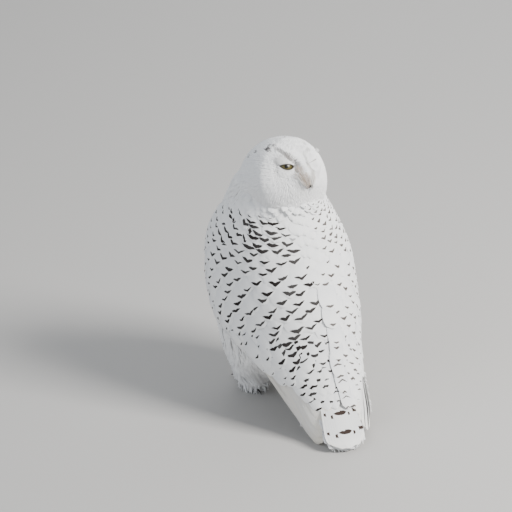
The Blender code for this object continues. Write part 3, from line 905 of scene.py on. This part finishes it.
def add_flank_fluff(shape, finish):
    """Loose white tufts that stand out past the lower edge of the right wing."""
    rng = np.random.default_rng(91)
    count = 240
    heights, across = rng.uniform(*FLUFF_HEIGHTS, count), rng.uniform(*FLUFF_ACROSS, count)
    roots = back_surface(heights, across, -1) + wing_lean(heights, across, -1)
    normals = back_normals(heights[:, None], across[:, None], -1)
    headings = unit(np.array([-0.30, 0.15, -1.0]) + rng.normal(0, 0.14, (count, 3)))
    spine = straight(roots, headings, rng.uniform(8, 13, count) * MM, 3)
    spine += normals * (1.6 + 3.0 * np.linspace(0, 1, 4)[:, None] ** 2) * MM
    shares = [(values - low) / (high - low) for values, (low, high)
              in ((across, FLUFF_ACROSS), (heights, FLUFF_HEIGHTS))]
    plant_piece("flank_fluff", finish, shape, spine, normals, 1.7 * MM,
                0.05 + 0.9 * np.stack(shares, axis=1), tint=rng.uniform(0, 1, count), dark=0.0)


# ---- the tail ----

RECTRICES = 12
BAR_PERIOD = 1.35


def tail_surface(along, over, lift):
    """Points above the tail: along is 0 at its root and 1 at its tip, over is -1 to 1 across it."""
    run = np.array(TAIL_TIP - TAIL_ROOT)
    heading = run / np.linalg.norm(run)
    up = np.cross([1.0, 0.0, 0.0], heading)
    half = (30 + 11 * along) * MM
    thick = (12 - 6 * along) / 2 * (1 - 0.45 * over ** 2) * MM
    roof = 9 * MM * (1 - over ** 2) * (1 - along)
    reach = along * (1 - 0.13 * over ** 2 * along)
    aside = np.array([1.0, 0, 0]) * (half * over)[..., None]
    places = np.array(TAIL_ROOT) + run * reach[..., None] + aside
    return places + up * (thick + roof + lift)[..., None], np.broadcast_to(up, places.shape)


def plant_tail(coat, shape, rng):
    order = np.arange(RECTRICES) - (RECTRICES - 1) / 2
    over = order / (RECTRICES / 2) * 0.74
    t = np.linspace(0, 1, 12)
    along = 0.06 + (0.925 - rng.uniform(0, 0.018, (RECTRICES, 1))) * t
    aside = over[:, None] * (0.45 + 0.55 * t[None, :])
    lift = (0.2 + 5.2 * (1 - np.abs(over)))[:, None] * MM + 0.8 * MM * t
    spine, upright = tail_surface(along, aside, lift)
    patch = np.stack([0.06 + 0.88 * (order + 5.5) / 11, np.full(RECTRICES, 0.5)], axis=1)
    # the outer feathers go in first, so that the middle ones show on the map and in the fan
    for i in np.argsort(-np.abs(order)):
        middle = abs(order[i]) < 1
        place = rng.uniform(1.10, 1.20) if middle else rng.uniform(0.70, 1.0)
        bars = {"mark": 0.985 * (middle or rng.random() < 0.65), "place": place,
                "span": 0.84 if middle else 1.5, "bend": rng.uniform(0.0, 0.08)}
        one = slice(i, i + 1)
        coat.plant(shape, spine[one], upright[one], 13.0 * MM, patch[one], (0.07, 0.9),
                   period=BAR_PERIOD, thick=rng.uniform(0.13, 0.17), tint=0.2,
                   seed=rng.uniform(0, 50), **bars)
        for bar in (0, BAR_PERIOD):
            bars["place"] = place + bar
            stain_vanes(spine[one], upright[one], 13.0 * MM,
                        {key: np.array([value]) for key, value in bars.items()})


# ---- soft tufts over the rest of the skin ----

class Ground:
    """The skin's faces: where they are, which way they face, and which solid they lie under."""

    def __init__(self, skin):
        mesh = skin.data
        places = points_of(mesh)
        corners = np.array([list(face.vertices)[:4] if len(face.vertices) > 3
                            else [*face.vertices, face.vertices[2]] for face in mesh.polygons])
        self.corners = places[corners]
        self.middle = self.corners.mean(axis=1)
        flat = np.empty(len(mesh.polygons) * 3)
        mesh.polygons.foreach_get("normal", flat)
        self.normal = flat.reshape(-1, 3)
        self.area = np.array([face.area for face in mesh.polygons])
        self.owner = np.array([solids.owner(place) for place in self.middle])
        self.part = np.array([name.split("_")[0] for name in self.owner])
        self.in_head = in_head_frame(self.middle)

    def scatter(self, chosen, spacing, rng, tries=5):
        """Even random roots on the chosen faces, no two nearer than the spacing, and their ups."""
        faces = np.flatnonzero(chosen)
        weights = self.area[faces]
        count = int(weights.sum() / spacing ** 2 * tries)
        picked = faces[rng.choice(len(faces), count, p=weights / weights.sum())]
        u, v = rng.random((2, count, 1))
        a, b, c, d = self.corners[picked].transpose(1, 0, 2)
        places = (a * (1 - u) + b * u) * (1 - v) + (d * (1 - u) + c * u) * v
        cells = np.floor(places / spacing).astype(int)
        taken, kept = {}, []
        for i, (cell, place) in enumerate(zip(map(tuple, cells), places)):
            near = (other for dx in (-1, 0, 1) for dy in (-1, 0, 1) for dz in (-1, 0, 1)
                    for other in taken.get((cell[0] + dx, cell[1] + dy, cell[2] + dz), ()))
            if all(((places[other] - place) ** 2).sum() > spacing ** 2 for other in near):
                taken.setdefault(cell, []).append(i)
                kept.append(i)
        return places[kept], self.normal[picked[kept]]


def in_head_frame(places):
    """Points in the head's own frame: +X out of the face, +Y to its left, +Z through the crown."""
    turn = np.array(HEAD.to_3x3())
    return (places - np.array(HEAD.translation)) @ turn


def along_skin(vectors, normals):
    """The part of each vector that runs along the skin, made one long."""
    return unit(vectors - (vectors * normals).sum(axis=1, keepdims=True) * normals)


def straight(roots, headings, lengths, steps):
    """A straight path from each root, of a few even steps."""
    t = np.linspace(0, 1, steps + 1)
    return roots[:, None, :] + headings[:, None, :] * (lengths[:, None] * t)[..., None]


def tuft_paths(roots, headings, lengths, lifts, rng, stray):
    """Paths from each root along its heading, with a little stray, laid over the skin."""
    headings = unit(headings + rng.normal(0, stray, headings.shape))
    return drape(straight(roots, headings, lengths, 3), lifts[:, None] * np.linspace(0, 1, 4))


def head_flow(places, normals):
    """The lie of the head's feathers: out from the eyes, back over the crown and down the neck."""
    local = in_head_frame(places)
    down = np.array([0.0, 0.0, -1.0])
    low = fade(places[:, 2], 0.455, 0.385)[:, None]
    behind = fade(local[:, 0], 0.02, -0.05)[:, None]
    flow = -FACING * (1 - 0.75 * low) + down * (0.35 * behind + 1.1 * low)
    for eye in EYES.values():
        away = places - np.array(eye)
        distance = np.linalg.norm(away, axis=1)
        near = fade(distance, 0.052, 0.020)[:, None]
        flow = flow * (1 - near) + unit(away) * near * 1.4
    return along_skin(flow, normals)


def body_flow(places, normals):
    """Down the breast and belly, and a little back towards the tail."""
    flow = np.broadcast_to(np.array([0.0, 0.22, -1.0]), places.shape).copy()
    flow[:, 0] += 0.25 * np.sign(places[:, 0]) * fade(places[:, 2], 0.2, 0.34)
    return along_skin(flow, normals)


def round_unwrap(places, centre, axis, reach):
    """An unwrap of a rounded stretch of skin about an axis out of its middle, in the unit square."""
    out = unit(places - np.array(centre))
    axis = np.array(Vector(axis).normalized())
    side = unit(np.cross([0.0, 0.0, 1.0], axis))
    top = np.cross(axis, side)
    angle = np.arccos(np.clip(out @ axis, -1, 1))
    turn = np.arctan2(out @ top, out @ side)
    share = 0.48 * angle / reach
    return np.stack([0.5 + share * np.cos(turn), 0.5 + share * np.sin(turn)], axis=1)


def column_unwrap(places, centre, low, high):
    """An unwrap around an upright axis: the turn about it and the height, in the unit square."""
    turn = np.arctan2(places[:, 0] - centre[0], -(places[:, 1] - centre[1]))
    return np.stack([0.5 + turn / (2 * pi) * 0.96,
                     0.02 + 0.96 * np.clip((places[:, 2] - low) / (high - low), 0, 1)], axis=1)


# The head's half width in millimetres, at which the reach of a speck is measured.
HEAD_SIZE = 76
# Dark specks on the head, and painted shade down the right brow, in millimetres in the head's frame:
# place, reach and how dark they are. In turn: over the crown, down the right brow, where grey
# feathers lie under a painted shadow of the brow, on the left brow, and beside the bill.
SPECKS_AND_BROW_SHADE = (
    (32.0, -40.9, 60.4, 3.4, 1.0), (31.0, -32.3, 65.0, 2.0, 0.9), (37.4, -30.9, 62.2, 2.0, 0.8),
    (37.0, -42.4, 55.3, 2.0, 0.7), (6.4, -47.0, 59.5, 2.2, 0.7), (-11.7, -52.0, 53.8, 2.2, 0.5),
    (31.5, 2.9, 73.6, 1.6, 0.6), (35.3, 17.4, 69.7, 1.6, 0.6), (30.0, 35.0, 64.0, 2.2, 0.9),
    (12.0, 44.0, 64.0, 2.0, 0.7), (-28.0, 20.0, 68.0, 2.0, 0.5), (-35.0, -18.0, 66.0, 2.0, 0.5),
    (44.9, -31.4, 54.8, 2.4, 0.55), (49.0, -29.0, 51.5, 2.6, 0.6), (52.5, -26.8, 47.9, 2.8, 0.65),
    (55.5, -24.7, 44.5, 3.0, 0.75), (58.5, -22.7, 41.2, 3.6, 0.9), (61.2, -19.1, 36.3, 3.8, 0.9),
    (63.4, -14.6, 31.1, 3.4, 0.7), (66.0, -11.0, 25.0, 3.4, 0.5), (67.3, -11.0, 18.1, 3.6, 0.35),
    (48.3, 30.6, 56.0, 3.0, 0.3), (58.1, 28.7, 47.4, 3.2, 0.3),
    (66.6, -24.0, 4.1, 5.0, 0.15), (69.4, -20.4, -7.6, 5.5, 0.18), (70.0, -12.0, -14.0, 4.5, 0.14),
)


def head_marks_and_brow_shade(roots, rng):
    """How dark each tuft of the head is."""
    out = unit(in_head_frame(roots))
    dark = np.zeros(len(roots))
    for x, y, z, reach, strength in SPECKS_AND_BROW_SHADE:
        gap = np.linalg.norm(out - np.array(Vector((x, y, z)).normalized()), axis=1) * HEAD_SIZE
        near = fade(gap, reach + 1.8, reach + 0.4)
        dark = np.maximum(dark, strength * near * rng.uniform(0.8, 1, len(roots)))
    return dark


def sparse_marks(share, strength):
    """A few tufts, here and there, that are dark."""
    def marks(roots, rng):
        return strength * (rng.random(len(roots)) < share) * rng.uniform(0.6, 1, len(roots))
    return marks


def no_marks(roots, _):
    return np.zeros(len(roots))


def in_metres(measure, roots):
    """A measure in millimetres: one number, or a function of the roots' places."""
    return (measure(roots) if callable(measure) else np.full(len(roots), measure)) * MM


def soft_coat(name, finish, chosen, shape, spacing, flow, length, half_width, lift, unwrap, seed,
              marks=no_marks, stray=0.12, loose=9.0):
    """One piece of soft coat; spacing, length, half_width, lift and loose are in millimetres.

    Tufts whose tips would stand further off the skin than loose are left out."""
    rng = np.random.default_rng(seed)
    roots, normals = faces.scatter(chosen, spacing * MM, rng)
    count = len(roots)
    lengths = in_metres(length, roots) * rng.uniform(0.85, 1.15, count)
    spine, upright = tuft_paths(roots, flow(roots, normals), lengths, in_metres(lift, roots),
                                rng, stray)
    tints, darks = rng.uniform(0, 1, count), marks(roots, rng)
    gaps = np.array([ground.find_nearest(Vector(tip))[3] for tip in spine[:, -1]])
    kept = gaps < loose * MM
    if marks is not head_marks_and_brow_shade:
        note_stains(spine[kept, -1], 2.0 * MM, darks[kept])
    plant_piece(name, finish, shape, spine[kept], upright[kept], in_metres(half_width, roots)[kept],
                unwrap(roots, normals)[kept], tint=tints[kept], dark=darks[kept])


def soft_material(name, white, shade, dark):
    """Soft tufts: each a shade of its own, and dark where dark says so."""
    recipe = Recipe(name, white, 0.8, 0.2)
    plain = recipe.mix(recipe.attribute("tint"), white, shade)
    recipe.colour(recipe.mix(recipe.attribute("dark"), plain, dark))
    _, side, to_tip = recipe.vane()
    barb = recipe.math("ADD", recipe.times(to_tip, 9.0), recipe.times(side, 6.0))
    recipe.relief(recipe.math("SINE", barb), 0.1 * MM, 0.4)
    return recipe.material


def point_outline(widest, root):
    """Half widths of a pointed tuft."""
    def half_width(y):
        if y < widest:
            return root + (1 - root) * sin(pi / 2 * y / widest)
        return max(0.04, cos(pi / 2 * (y - widest) / (1 - widest)) ** 0.8)
    return half_width


def eye_gap(places):
    gaps = [np.linalg.norm(places - np.array(eye), axis=1) for eye in EYES.values()]
    return np.min(gaps, axis=0)


def around(axis, reach):
    return lambda roots, _: round_unwrap(roots, HEAD.translation, axis, radians(reach))


def about_column(x, y, low, high):
    return lambda roots, _: column_unwrap(roots, (x, y), low, high)


# The heights at which neck, breast, belly and skirt meet, and the lowest height of the crown.
NECK_FOOT, BREAST_FOOT, BELLY_FOOT, CROWN_FOOT = 0.33, 0.19, 0.085, 0.384
SOFT_WHITE, SOFT_SHADE = (0.88, 0.88, 0.87), (0.82, 0.82, 0.82)
# The face's feathers reach this far round from the way it faces, with a ragged rim.
DISC_REACH, DISC_RAG = radians(64), radians(3.5)


def add_soft_coat():
    fine = Shape(blade(2, 3, point_outline(0.35, 0.5), 0.45, 1.0))
    lock = blade(2, 3, point_outline(0.4, 0.45), 0.35, 1.0)
    lock = Shape(fan(lock, (radians(16), radians(-15)), (0.84, 0.78)))
    white = soft_material("soft_white", SOFT_WHITE, SOFT_SHADE, (0.06, 0.05, 0.045))
    middle, part, normal = faces.middle, faces.part, faces.normal
    height = middle[:, 2]
    face_angle = np.arccos(np.clip(unit(faces.in_head)[:, 0], -1, 1))
    on_head = (part == "head") & (eye_gap(middle) > EYE_RADIUS + 0.4 * MM)
    ragged = np.random.default_rng(20).normal(0, DISC_RAG, len(middle))
    disc = on_head & (face_angle + ragged < DISC_REACH)
    # the back between the wings has feathers of its own
    back_wedge = (normal[:, 1] > 0.25) & (height > 0.17) & (height < 0.362)
    trunk = ((part == "trunk") | (part == "neck")) & ~back_wedge
    pieces = [
        ("face_feathers", disc, fine, 1.6, head_flow,
         lambda at: 4.0 + 5.0 * fade(eye_gap(at), 0.018, 0.045), 1.1,
         lambda at: 2.0 + 0.6 * fade(eye_gap(at), 0.030, 0.018),
         around(FACING, 80), 21, head_marks_and_brow_shade),
        ("crown_feathers", on_head & ~disc & (height > CROWN_FOOT), fine, 2.1, head_flow,
         lambda at: 8 + 4 * fade(at[:, 2], 0.46, 0.40), 1.6, 2.1,
         around(-FACING, 130), 22, head_marks_and_brow_shade),
        ("neck_feathers", trunk & (height > NECK_FOOT), lock, 3.5, head_flow, 22, 2.5, 5.0,
         about_column(0, -0.1, 0.3, 0.43), 23),
        ("breast_feathers", trunk & (height <= NECK_FOOT) & (height > BREAST_FOOT), lock, 5.2,
         body_flow, 30, 3.5, 4.6, about_column(0, -0.1, 0.17, 0.35), 24, sparse_marks(0.02, 0.75)),
        ("belly_feathers", trunk & (height <= BREAST_FOOT) & (height > BELLY_FOOT), lock, 5.2,
         body_flow, 30, 3.4, 4.4, about_column(0, -0.08, 0.02, 0.2), 25, sparse_marks(0.03, 0.8)),
        ("skirt_feathers", trunk & (height <= BELLY_FOOT), lock, 3.8, body_flow,
         lambda at: 30 + 12 * fade(at[:, 2], 0.085, 0.05), 2.6,
         lambda at: 4.4 + 6 * fade(at[:, 2], 0.085, 0.05),
         about_column(0, -0.08, 0.02, 0.1), 29, no_marks, 0.16),
        ("wing_lining", (part == "wing") & (normal[:, 1] < 0.05) & (height > 0.022), lock, 5.0,
         body_flow, 15, 2.8, 1.2, about_column(0, -0.05, 0.0, 0.38), 28,
         sparse_marks(0.03, 0.8), 0.05, 4),
        ("undertail_feathers", (part == "tail") & (normal[:, 2] < 0.1), lock, 5.0, tail_flow,
         26, 3.2, 2.6, tail_unwrap, 30)]
    for name, side in SIDES:
        near = (middle[:, 0] - MIDDLE.x) * side > 0
        leg_column = about_column(MIDDLE.x + side * FOOT_X, MIDDLE.y - 13 * MM, 0.0, 0.1)
        pieces += [
            (f"leg_feathers_{name}", near & (part == "leg"), lock, 3.3, body_flow, 24, 2.3, 6.0,
             leg_column, 26, no_marks, 0.18, 40),
            (f"foot_feathers_{name}", near & ((part == "foot") | (part == "toe")), fine, 2.3,
             foot_flow, 7, 1.5, 1.7, foot_unwrap, 27)]
    for name, *rest in pieces:
        soft_coat(name, white, *rest)


def tail_flow(places, normals):
    """Straight back along the underside of the tail."""
    run = np.array((TAIL_TIP - TAIL_ROOT).normalized())
    return along_skin(np.broadcast_to(run, places.shape), normals)


def tail_unwrap(places, _):
    """The underside of the tail from below."""
    return np.stack([0.5 + (places[:, 0] - MIDDLE.x) / 0.12,
                     0.04 + 0.92 * (places[:, 1] - TAIL_ROOT.y + 0.04) / 0.19], axis=1)


def foot_flow(places, normals):
    """Down the foot and out along the toes."""
    aside = places[:, 0] - MIDDLE.x
    outward = np.stack([aside - FOOT_X * np.sign(aside), places[:, 1] - FEET[0].y,
                        -0.3 * places[:, 2]], axis=1)
    return along_skin(outward, normals)


def foot_unwrap(places, normals):
    """A foot from above and, beside it, the same foot from below."""
    aside = np.abs(places[:, 0] - MIDDLE.x) - FOOT_X
    view = np.where(normals[:, 2] < 0, 0.75, 0.25)
    return np.stack([view + aside / 0.22, 0.5 + (places[:, 1] - MIDDLE.y + 0.02) / 0.16], axis=1)


# ---- eyes, lids, bill and claws ----

GAZE, PUPIL_LOOK = Vector((0.951, 0.219, 0.217)), Vector((0.905, 0.395, 0.145))
EYE_SLANT = radians(12)
OPENING = 12.2 * MM
# How far each eye's lids are open, above and below the line between its corners.
LIDS = {"left": (0.3 * MM, 0.8 * MM), "right": (1.5 * MM, 7.0 * MM)}
# How far a shut eye draws back into the head.
SUNK = {"left": 1.5 * MM, "right": 0.0}
RIMS = {"left": (0.72, 0.71, 0.70), "right": (0.022, 0.018, 0.016)}
# How much brow each eye has: how far its lid feathers rise over it, and how much painted shade they
# carry.
BROWS = {"left": 0.0, "right": 1.0}
# The width of the lids' bare rim.
BARE_RIM = {"left": 0.5 * MM, "right": 1.9 * MM}


def eye_frame(name, side):
    """One eye's axes in the model's frame, out of its opening, across it and up, and its middle."""
    out = head_way(GAZE.x, GAZE.y * side, GAZE.z).normalized()
    across = head_way(0, 0, 1).cross(out).normalized()
    rise = out.cross(across)
    slant = -side * EYE_SLANT
    across, rise = across * cos(slant) - rise * sin(slant), rise * cos(slant) + across * sin(slant)
    return out, across, rise, EYES[side] - out * SUNK[name]


def iris_material(name, centre, look):
    recipe = Recipe(name, (0.30, 0.24, 0.04), 0.3, 0.3)
    out = recipe.vector("NORMALIZE", recipe.vector("SUBTRACT", recipe.place(), tuple(centre)))
    angle = recipe.math("ARCCOSINE", recipe.vector("DOT_PRODUCT", out, tuple(look)))
    # the iris is a dark olive in place of a snowy owl's bright yellow, a painted shade of the brow
    # over the eye
    iris = recipe.mix(recipe.noise(700.0, 4.0), (0.048, 0.040, 0.014), (0.115, 0.096, 0.032))
    # by the angle off the look: the iris's dim rim, the pupil, and the dark ring round the iris
    for low, high, colour in ((0.55, 0.82, (0.05, 0.038, 0.012)),
                              (0.255, 0.225, (0.004, 0.004, 0.004)),
                              (0.86, 0.92, (0.02, 0.016, 0.014))):
        iris = recipe.mix(recipe.ramp(angle, low, high), iris, colour)
    recipe.colour(iris)
    recipe.shader.inputs["Coat Weight"].default_value = 0.10
    recipe.shader.inputs["Coat Roughness"].default_value = 0.03
    return recipe.material


def lid_arcs(name):
    """Both lids' edges, circles through the opening's corners: radius and height of the middle."""
    above, below = LIDS[name]
    arcs = []
    for height in (above, -below):
        radius = (OPENING ** 2 + height ** 2) / (2 * abs(height))
        arcs.append((radius, height - radius if height > 0 else height + radius))
    return arcs


def beyond_opening(recipe, name, centre, across, rise):
    """How far a point lies outside the opening between the lids."""
    off = recipe.vector("SUBTRACT", recipe.place(), tuple(centre))
    u = recipe.vector("DOT_PRODUCT", off, tuple(across))
    v = recipe.vector("DOT_PRODUCT", off, tuple(rise))
    gaps = []
    for radius, middle in lid_arcs(name):
        flat = recipe.node("CombineXYZ", {0: u, 1: recipe.math("SUBTRACT", v, middle)}).outputs[0]
        gaps.append(recipe.math("SUBTRACT", recipe.vector("LENGTH", flat), radius))
    return recipe.math("MAXIMUM", *gaps)


def lid_material(name, *frame):
    recipe = Recipe(f"lid_{name}", (0.6, 0.6, 0.6), 0.5)
    gap = beyond_opening(recipe, name, *frame)
    outer = recipe.mix(recipe.ramp(gap, 1.6 * MM, 4.0 * MM), (0.56, 0.53, 0.50), WHITE)
    recipe.colour(recipe.mix(recipe.ramp(gap, 1.7 * MM, 1.0 * MM), outer, RIMS[name]))
    return recipe.material


def opening_cutter(name):
    """A prism whose outline is the opening between two lids, standing along +Z."""
    halves = []
    for radius, middle in lid_arcs(name):
        bpy.ops.mesh.primitive_cylinder_add(vertices=160, radius=radius, depth=0.04,
                                            location=(0, middle, 0.02))
        halves.append(bpy.context.object)
    apply_modifier(halves[0], "BOOLEAN", operation="INTERSECT", object=halves[1], solver="EXACT")
    bpy.data.objects.remove(halves[1])
    return halves[0]


def add_eyeball(name, side):
    centre = eye_frame(name, side)[3]
    look = head_way(PUPIL_LOOK.x, PUPIL_LOOK.y * side, PUPIL_LOOK.z).normalized()
    deselect()
    bpy.ops.mesh.primitive_uv_sphere_add(segments=40, ring_count=24, location=centre,
                                         radius=EYE_RADIUS - 0.1 * MM)
    bpy.ops.object.transform_apply(location=True, rotation=False, scale=False)
    bpy.ops.object.shade_smooth()
    eye = bpy.context.object
    eye.name = f"eyeball_{name}"
    eye.data.materials.append(iris_material(f"iris_{name}", centre, look))
    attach(eye, "root")
    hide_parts(f"eye_{name}")


def add_eyelids(name, side):
    """A cap of skin over the eyeball, with the opening cut out of it."""
    out, across, rise, centre = eye_frame(name, side)
    deselect()
    bpy.ops.mesh.primitive_uv_sphere_add(segments=48, ring_count=32, radius=EYE_RADIUS + 0.9 * MM)
    lids = bpy.context.object
    lids.name = f"eyelids_{name}"
    pick(lids, [v.index for v in lids.data.vertices if v.co.z < 0.12 * EYE_RADIUS])
    bpy.ops.mesh.delete(type="VERT")
    bpy.ops.object.mode_set(mode="OBJECT")
    apply_modifier(lids, "SOLIDIFY", thickness=1.1 * MM, offset=0.0)
    cutter = opening_cutter(name)
    apply_modifier(lids, "BOOLEAN", operation="DIFFERENCE", object=cutter, solver="EXACT")
    bpy.data.objects.remove(cutter)
    turn = Matrix((across, rise, out)).transposed().to_4x4()
    lids.matrix_world = Matrix.Translation(centre) @ turn
    make_active(lids)
    bpy.ops.object.transform_apply(location=True, rotation=True, scale=True)
    bpy.ops.object.shade_smooth_by_angle(angle=radians(50))
    lids.data.materials.clear()
    lids.data.materials.append(lid_material(name, centre, across, rise))
    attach(lids, "root")


# How far round from the eye's own axis its lids are feathered.
LID_REACH = radians(88)


def plant_lid_feathers(name, side, shape, finish):
    """Fine feathers on the lids, away from the opening, which also bridge to the coat of the face."""
    rng = np.random.default_rng(61 + side)
    out, across, rise, centre = (np.array(value) for value in eye_frame(name, side))
    count = 4200
    lean = np.arccos(rng.uniform(cos(LID_REACH), 1.0, count))
    turn = rng.uniform(0, 2 * pi, count)
    radius = EYE_RADIUS + 1.35 * MM
    u, v = np.sin(lean) * np.cos(turn) * radius, np.sin(lean) * np.sin(turn) * radius
    gap = np.max([np.hypot(u, v - middle) - size for size, middle in lid_arcs(name)], axis=0)
    kept = gap > BARE_RIM[name]
    lean, turn, gap = lean[kept], turn[kept], gap[kept]
    count = len(lean)

    def around_lid(angle):
        return across * np.cos(angle)[:, None] + rise * np.sin(angle)[:, None]

    length = (2.4 + 6.6 * fade(gap, 1.5 * MM, 8 * MM)) * MM * rng.uniform(0.8, 1.2, count)
    brow = fade(np.sin(turn), 0.1, 0.7) * fade(gap, 1.2 * MM, 4 * MM) * BROWS[name]
    away = around_lid(turn + rng.normal(0, 0.12, count))
    up = around_lid(turn) * np.sin(lean)[:, None] + out * np.cos(lean)[:, None]
    # they lie along the lid near the opening and run straight out over its edge further off
    tangent = unit(away - (away * up).sum(axis=1, keepdims=True) * up)
    flare = fade(lean, 0.35, 0.95)[:, None]
    heading = unit(tangent * (1 - flare) + away * flare + up * (0.08 + 0.30 * brow)[:, None])
    spine = straight(centre + up * radius, heading, length, 3)
    share = 0.46 * lean / 1.54
    patch = np.stack([0.5 + share * np.cos(turn), 0.5 + share * np.sin(turn)], axis=1)
    # painted shade on the lid feathers: darker near the opening, where the eye sits deep, and over
    # its upper inner side under the brow; the left eye's get none
    dark = 0.22 * fade(gap, 3.5 * MM, 1.9 * MM)
    dark += 0.16 * fade(np.sin(turn + side * 0.5), 0.45, 0.9) * fade(lean, 1.3, 0.9)
    dark = np.maximum(dark, head_marks_and_brow_shade(spine[:, -1], rng)) * BROWS[name]
    plant_piece(f"eyelid_feathers_{name}", finish, shape, spine, up[:, None, :], 0.7 * MM, patch,
                tint=rng.uniform(0, 1, count), dark=dark)


# Where the bristles grow, in the head's frame: out past the first and between the other heights,
# and no nearer than the last to an eye's middle.
LORES_OUT, LORES_LOW, LORES_HIGH, LORES_GAP = 0.045, -0.020, 0.024, 0.0165


def add_bristles(shape):
    """Stiff bristles of the lores, which run from between the eyes down over the root of the bill."""
    rng = np.random.default_rng(71)
    x, y, z = faces.in_head.T
    chosen = (faces.part == "head") & (x > LORES_OUT) & (z > LORES_LOW) & (z < LORES_HIGH)
    chosen &= (np.abs(y) < 0.008 + 0.42 * (z - LORES_LOW)) & (eye_gap(faces.middle) > LORES_GAP)
    roots, normals = faces.scatter(chosen, 1.5 * MM, rng)
    _, y, z = in_head_frame(roots).T
    count = len(roots)
    aim = np.array(BILL_TIP) + np.array(head_way(2.4, 0, 4.4)) * MM
    toward = unit(aim - roots)
    sideways = np.array(head_way(0, 1, 0)) * np.sign(y)[:, None]
    start = unit(toward * 0.75 + normals * 0.45 + sideways * 0.2 + rng.normal(0, 0.10, (count, 3)))
    end = unit(toward + np.array(head_way(0.1, 0, -0.5)) + sideways * 0.12)
    length = np.minimum(np.linalg.norm(aim - roots, axis=1) * 0.86, rng.uniform(13, 19, count) * MM)
    t = np.linspace(0, 1, 5)[:, None]
    curve = start[:, None, :] * (t - t * t / 2) + end[:, None, :] * (t * t / 2)
    spine = roots[:, None, :] + length[:, None, None] * curve
    # tan from the inner corner of the eye to the bill, and white beyond; the left side's bristles
    # stay almost white, painted light of the lit side
    line = np.abs(np.abs(y) - (0.004 + 0.30 * np.clip(z + 0.015, 0, 1)))
    tan = 0.95 * fade(line, 0.017, 0.003) * rng.uniform(0.3, 1.0, count) * np.where(y < 0, 1, 0.1)
    finish = soft_material("bristle", (0.86, 0.85, 0.83), (0.76, 0.73, 0.69), (0.33, 0.225, 0.14))
    plant_piece("bristles", finish, shape, spine, normals[:, None, :], 0.6 * MM,
                around(FACING, 60)(roots, normals), tint=rng.uniform(0, 1, count), dark=tan)


# The left ear, in the head's frame.
EAR = np.array([42.0, 53.0, 36.5]) * MM


def add_ear_tuft(shape, finish):
    """A few raised feathers over the left ear."""
    rng = np.random.default_rng(81)
    count = 34
    spots = EAR + rng.normal(0, 1.5 * MM, (count, 3))
    hits = [ground.find_nearest(HEAD @ Vector(spot))[:2] for spot in spots]
    roots, normals = np.array(hits).transpose(1, 0, 2)
    heading = unit(normals + np.array([0, 0, 0.9]) - 0.2 * FACING
                   + rng.normal(0, 0.16, (count, 3)))
    spine = straight(roots, heading, rng.uniform(6, 9.5, count) * MM, 3)
    plant_piece("ear_tuft", finish, shape, spine, -FACING, 0.8 * MM,
                around(normals[0], 20)(roots, normals),
                tint=rng.uniform(0, 1, count), dark=0.22 * (rng.random(count) < 0.4))


def horn_material():
    recipe = Recipe("horn", (0.022, 0.021, 0.022), 0.30)
    streak = recipe.noise(260.0, 3.0)
    recipe.colour(recipe.mix(streak, (0.014, 0.013, 0.014), (0.045, 0.042, 0.040)))
    recipe.relief(streak, 0.15 * MM, 0.4)
    return recipe.material


def add_horn():
    """Bill halves and claws: their solids rounded off."""
    horn = horn_material()
    groups = {"bill_upper_horn": ["bill_upper"], "bill_lower_horn": ["bill_lower"]}
    for name, _ in SIDES:
        groups[f"claws_{name}"] = [f"claw_{name}_{toe}" for toe in TOE_NAMES]
    for name, nodes in groups.items():
        piece = merged_copy(nodes, name)
        apply_modifier(piece, "SUBSURF", levels=2)
        make_active(piece)
        bpy.ops.object.shade_smooth()
        piece.data.materials.append(horn)
        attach(piece, "root")
        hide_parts(*nodes)


# ---- everything together ----

deselect()
solids = Solids(FLESH)
skin = add_skin()
ground = surface_of(skin)
faces = Ground(skin)
add_stage()
add_soft_coat()
hair = Shape(blade(1, 3, point_outline(0.2, 0.7), 0.3, 1.0))
lid_white = soft_material("lid_white", SOFT_WHITE, SOFT_SHADE, (0.12, 0.10, 0.09))
for name, side in SIDES:
    add_eyeball(name, side)
    add_eyelids(name, side)
    plant_lid_feathers(name, side, hair, lid_white)
add_bristles(hair)
add_flank_fluff(hair, lid_white)
add_ear_tuft(hair, lid_white)
add_horn()
coverts = [Shape(blade(4, 6, vane_outline(*outline), arch)) for outline, arch in
           (((0.5, 0.3, 0.25), 0.12), ((0.6, 0.35, 0.2, 2.0), 0.10), ((0.45, 0.35, 0.06, 1.5), 0.12))]
flight = Shape(blade(6, 14, vane_outline(0.78, 0.6, 0.12, 2.4), 0.09, 1.6))
rectrix = Shape(blade(6, 12, vane_outline(0.84, 0.6, 0.14, 2.2), 0.10, 1.6))
PALE, CREAM_PALE = (0.80, 0.74, 0.62), (0.80, 0.75, 0.65)
# one mark colour in a shaded and a lit copy: near black on the left is painted shade, lighter brown
# on the right is painted light
marked = {1: vane_material("marked_left_painted_shade", PALE, (0.015, 0.011, 0.010)),
          -1: vane_material("marked_right_painted_light", PALE, (0.038, 0.024, 0.018))}
cream = vane_material("cream_vane", CREAM_PALE, (0.12, 0.08, 0.055))
barred = vane_material("barred_vane", PALE, (0.026, 0.013, 0.008))
for name, side in SIDES:
    coat = Coat(f"back_feathers_{name}", marked[side])
    plant_back(coat, coverts, side, np.random.default_rng(11 if side > 0 else 12))
    coat.finish_piece()
    coat = Coat(f"flight_feathers_{name}", cream, "flight")
    plant_flight(coat, flight, side, np.random.default_rng(31 if side > 0 else 32))
    coat.finish_piece()
coat = Coat("tail_feathers", barred)
plant_tail(coat, rectrix, np.random.default_rng(41))
coat.finish_piece()
mark_skin()
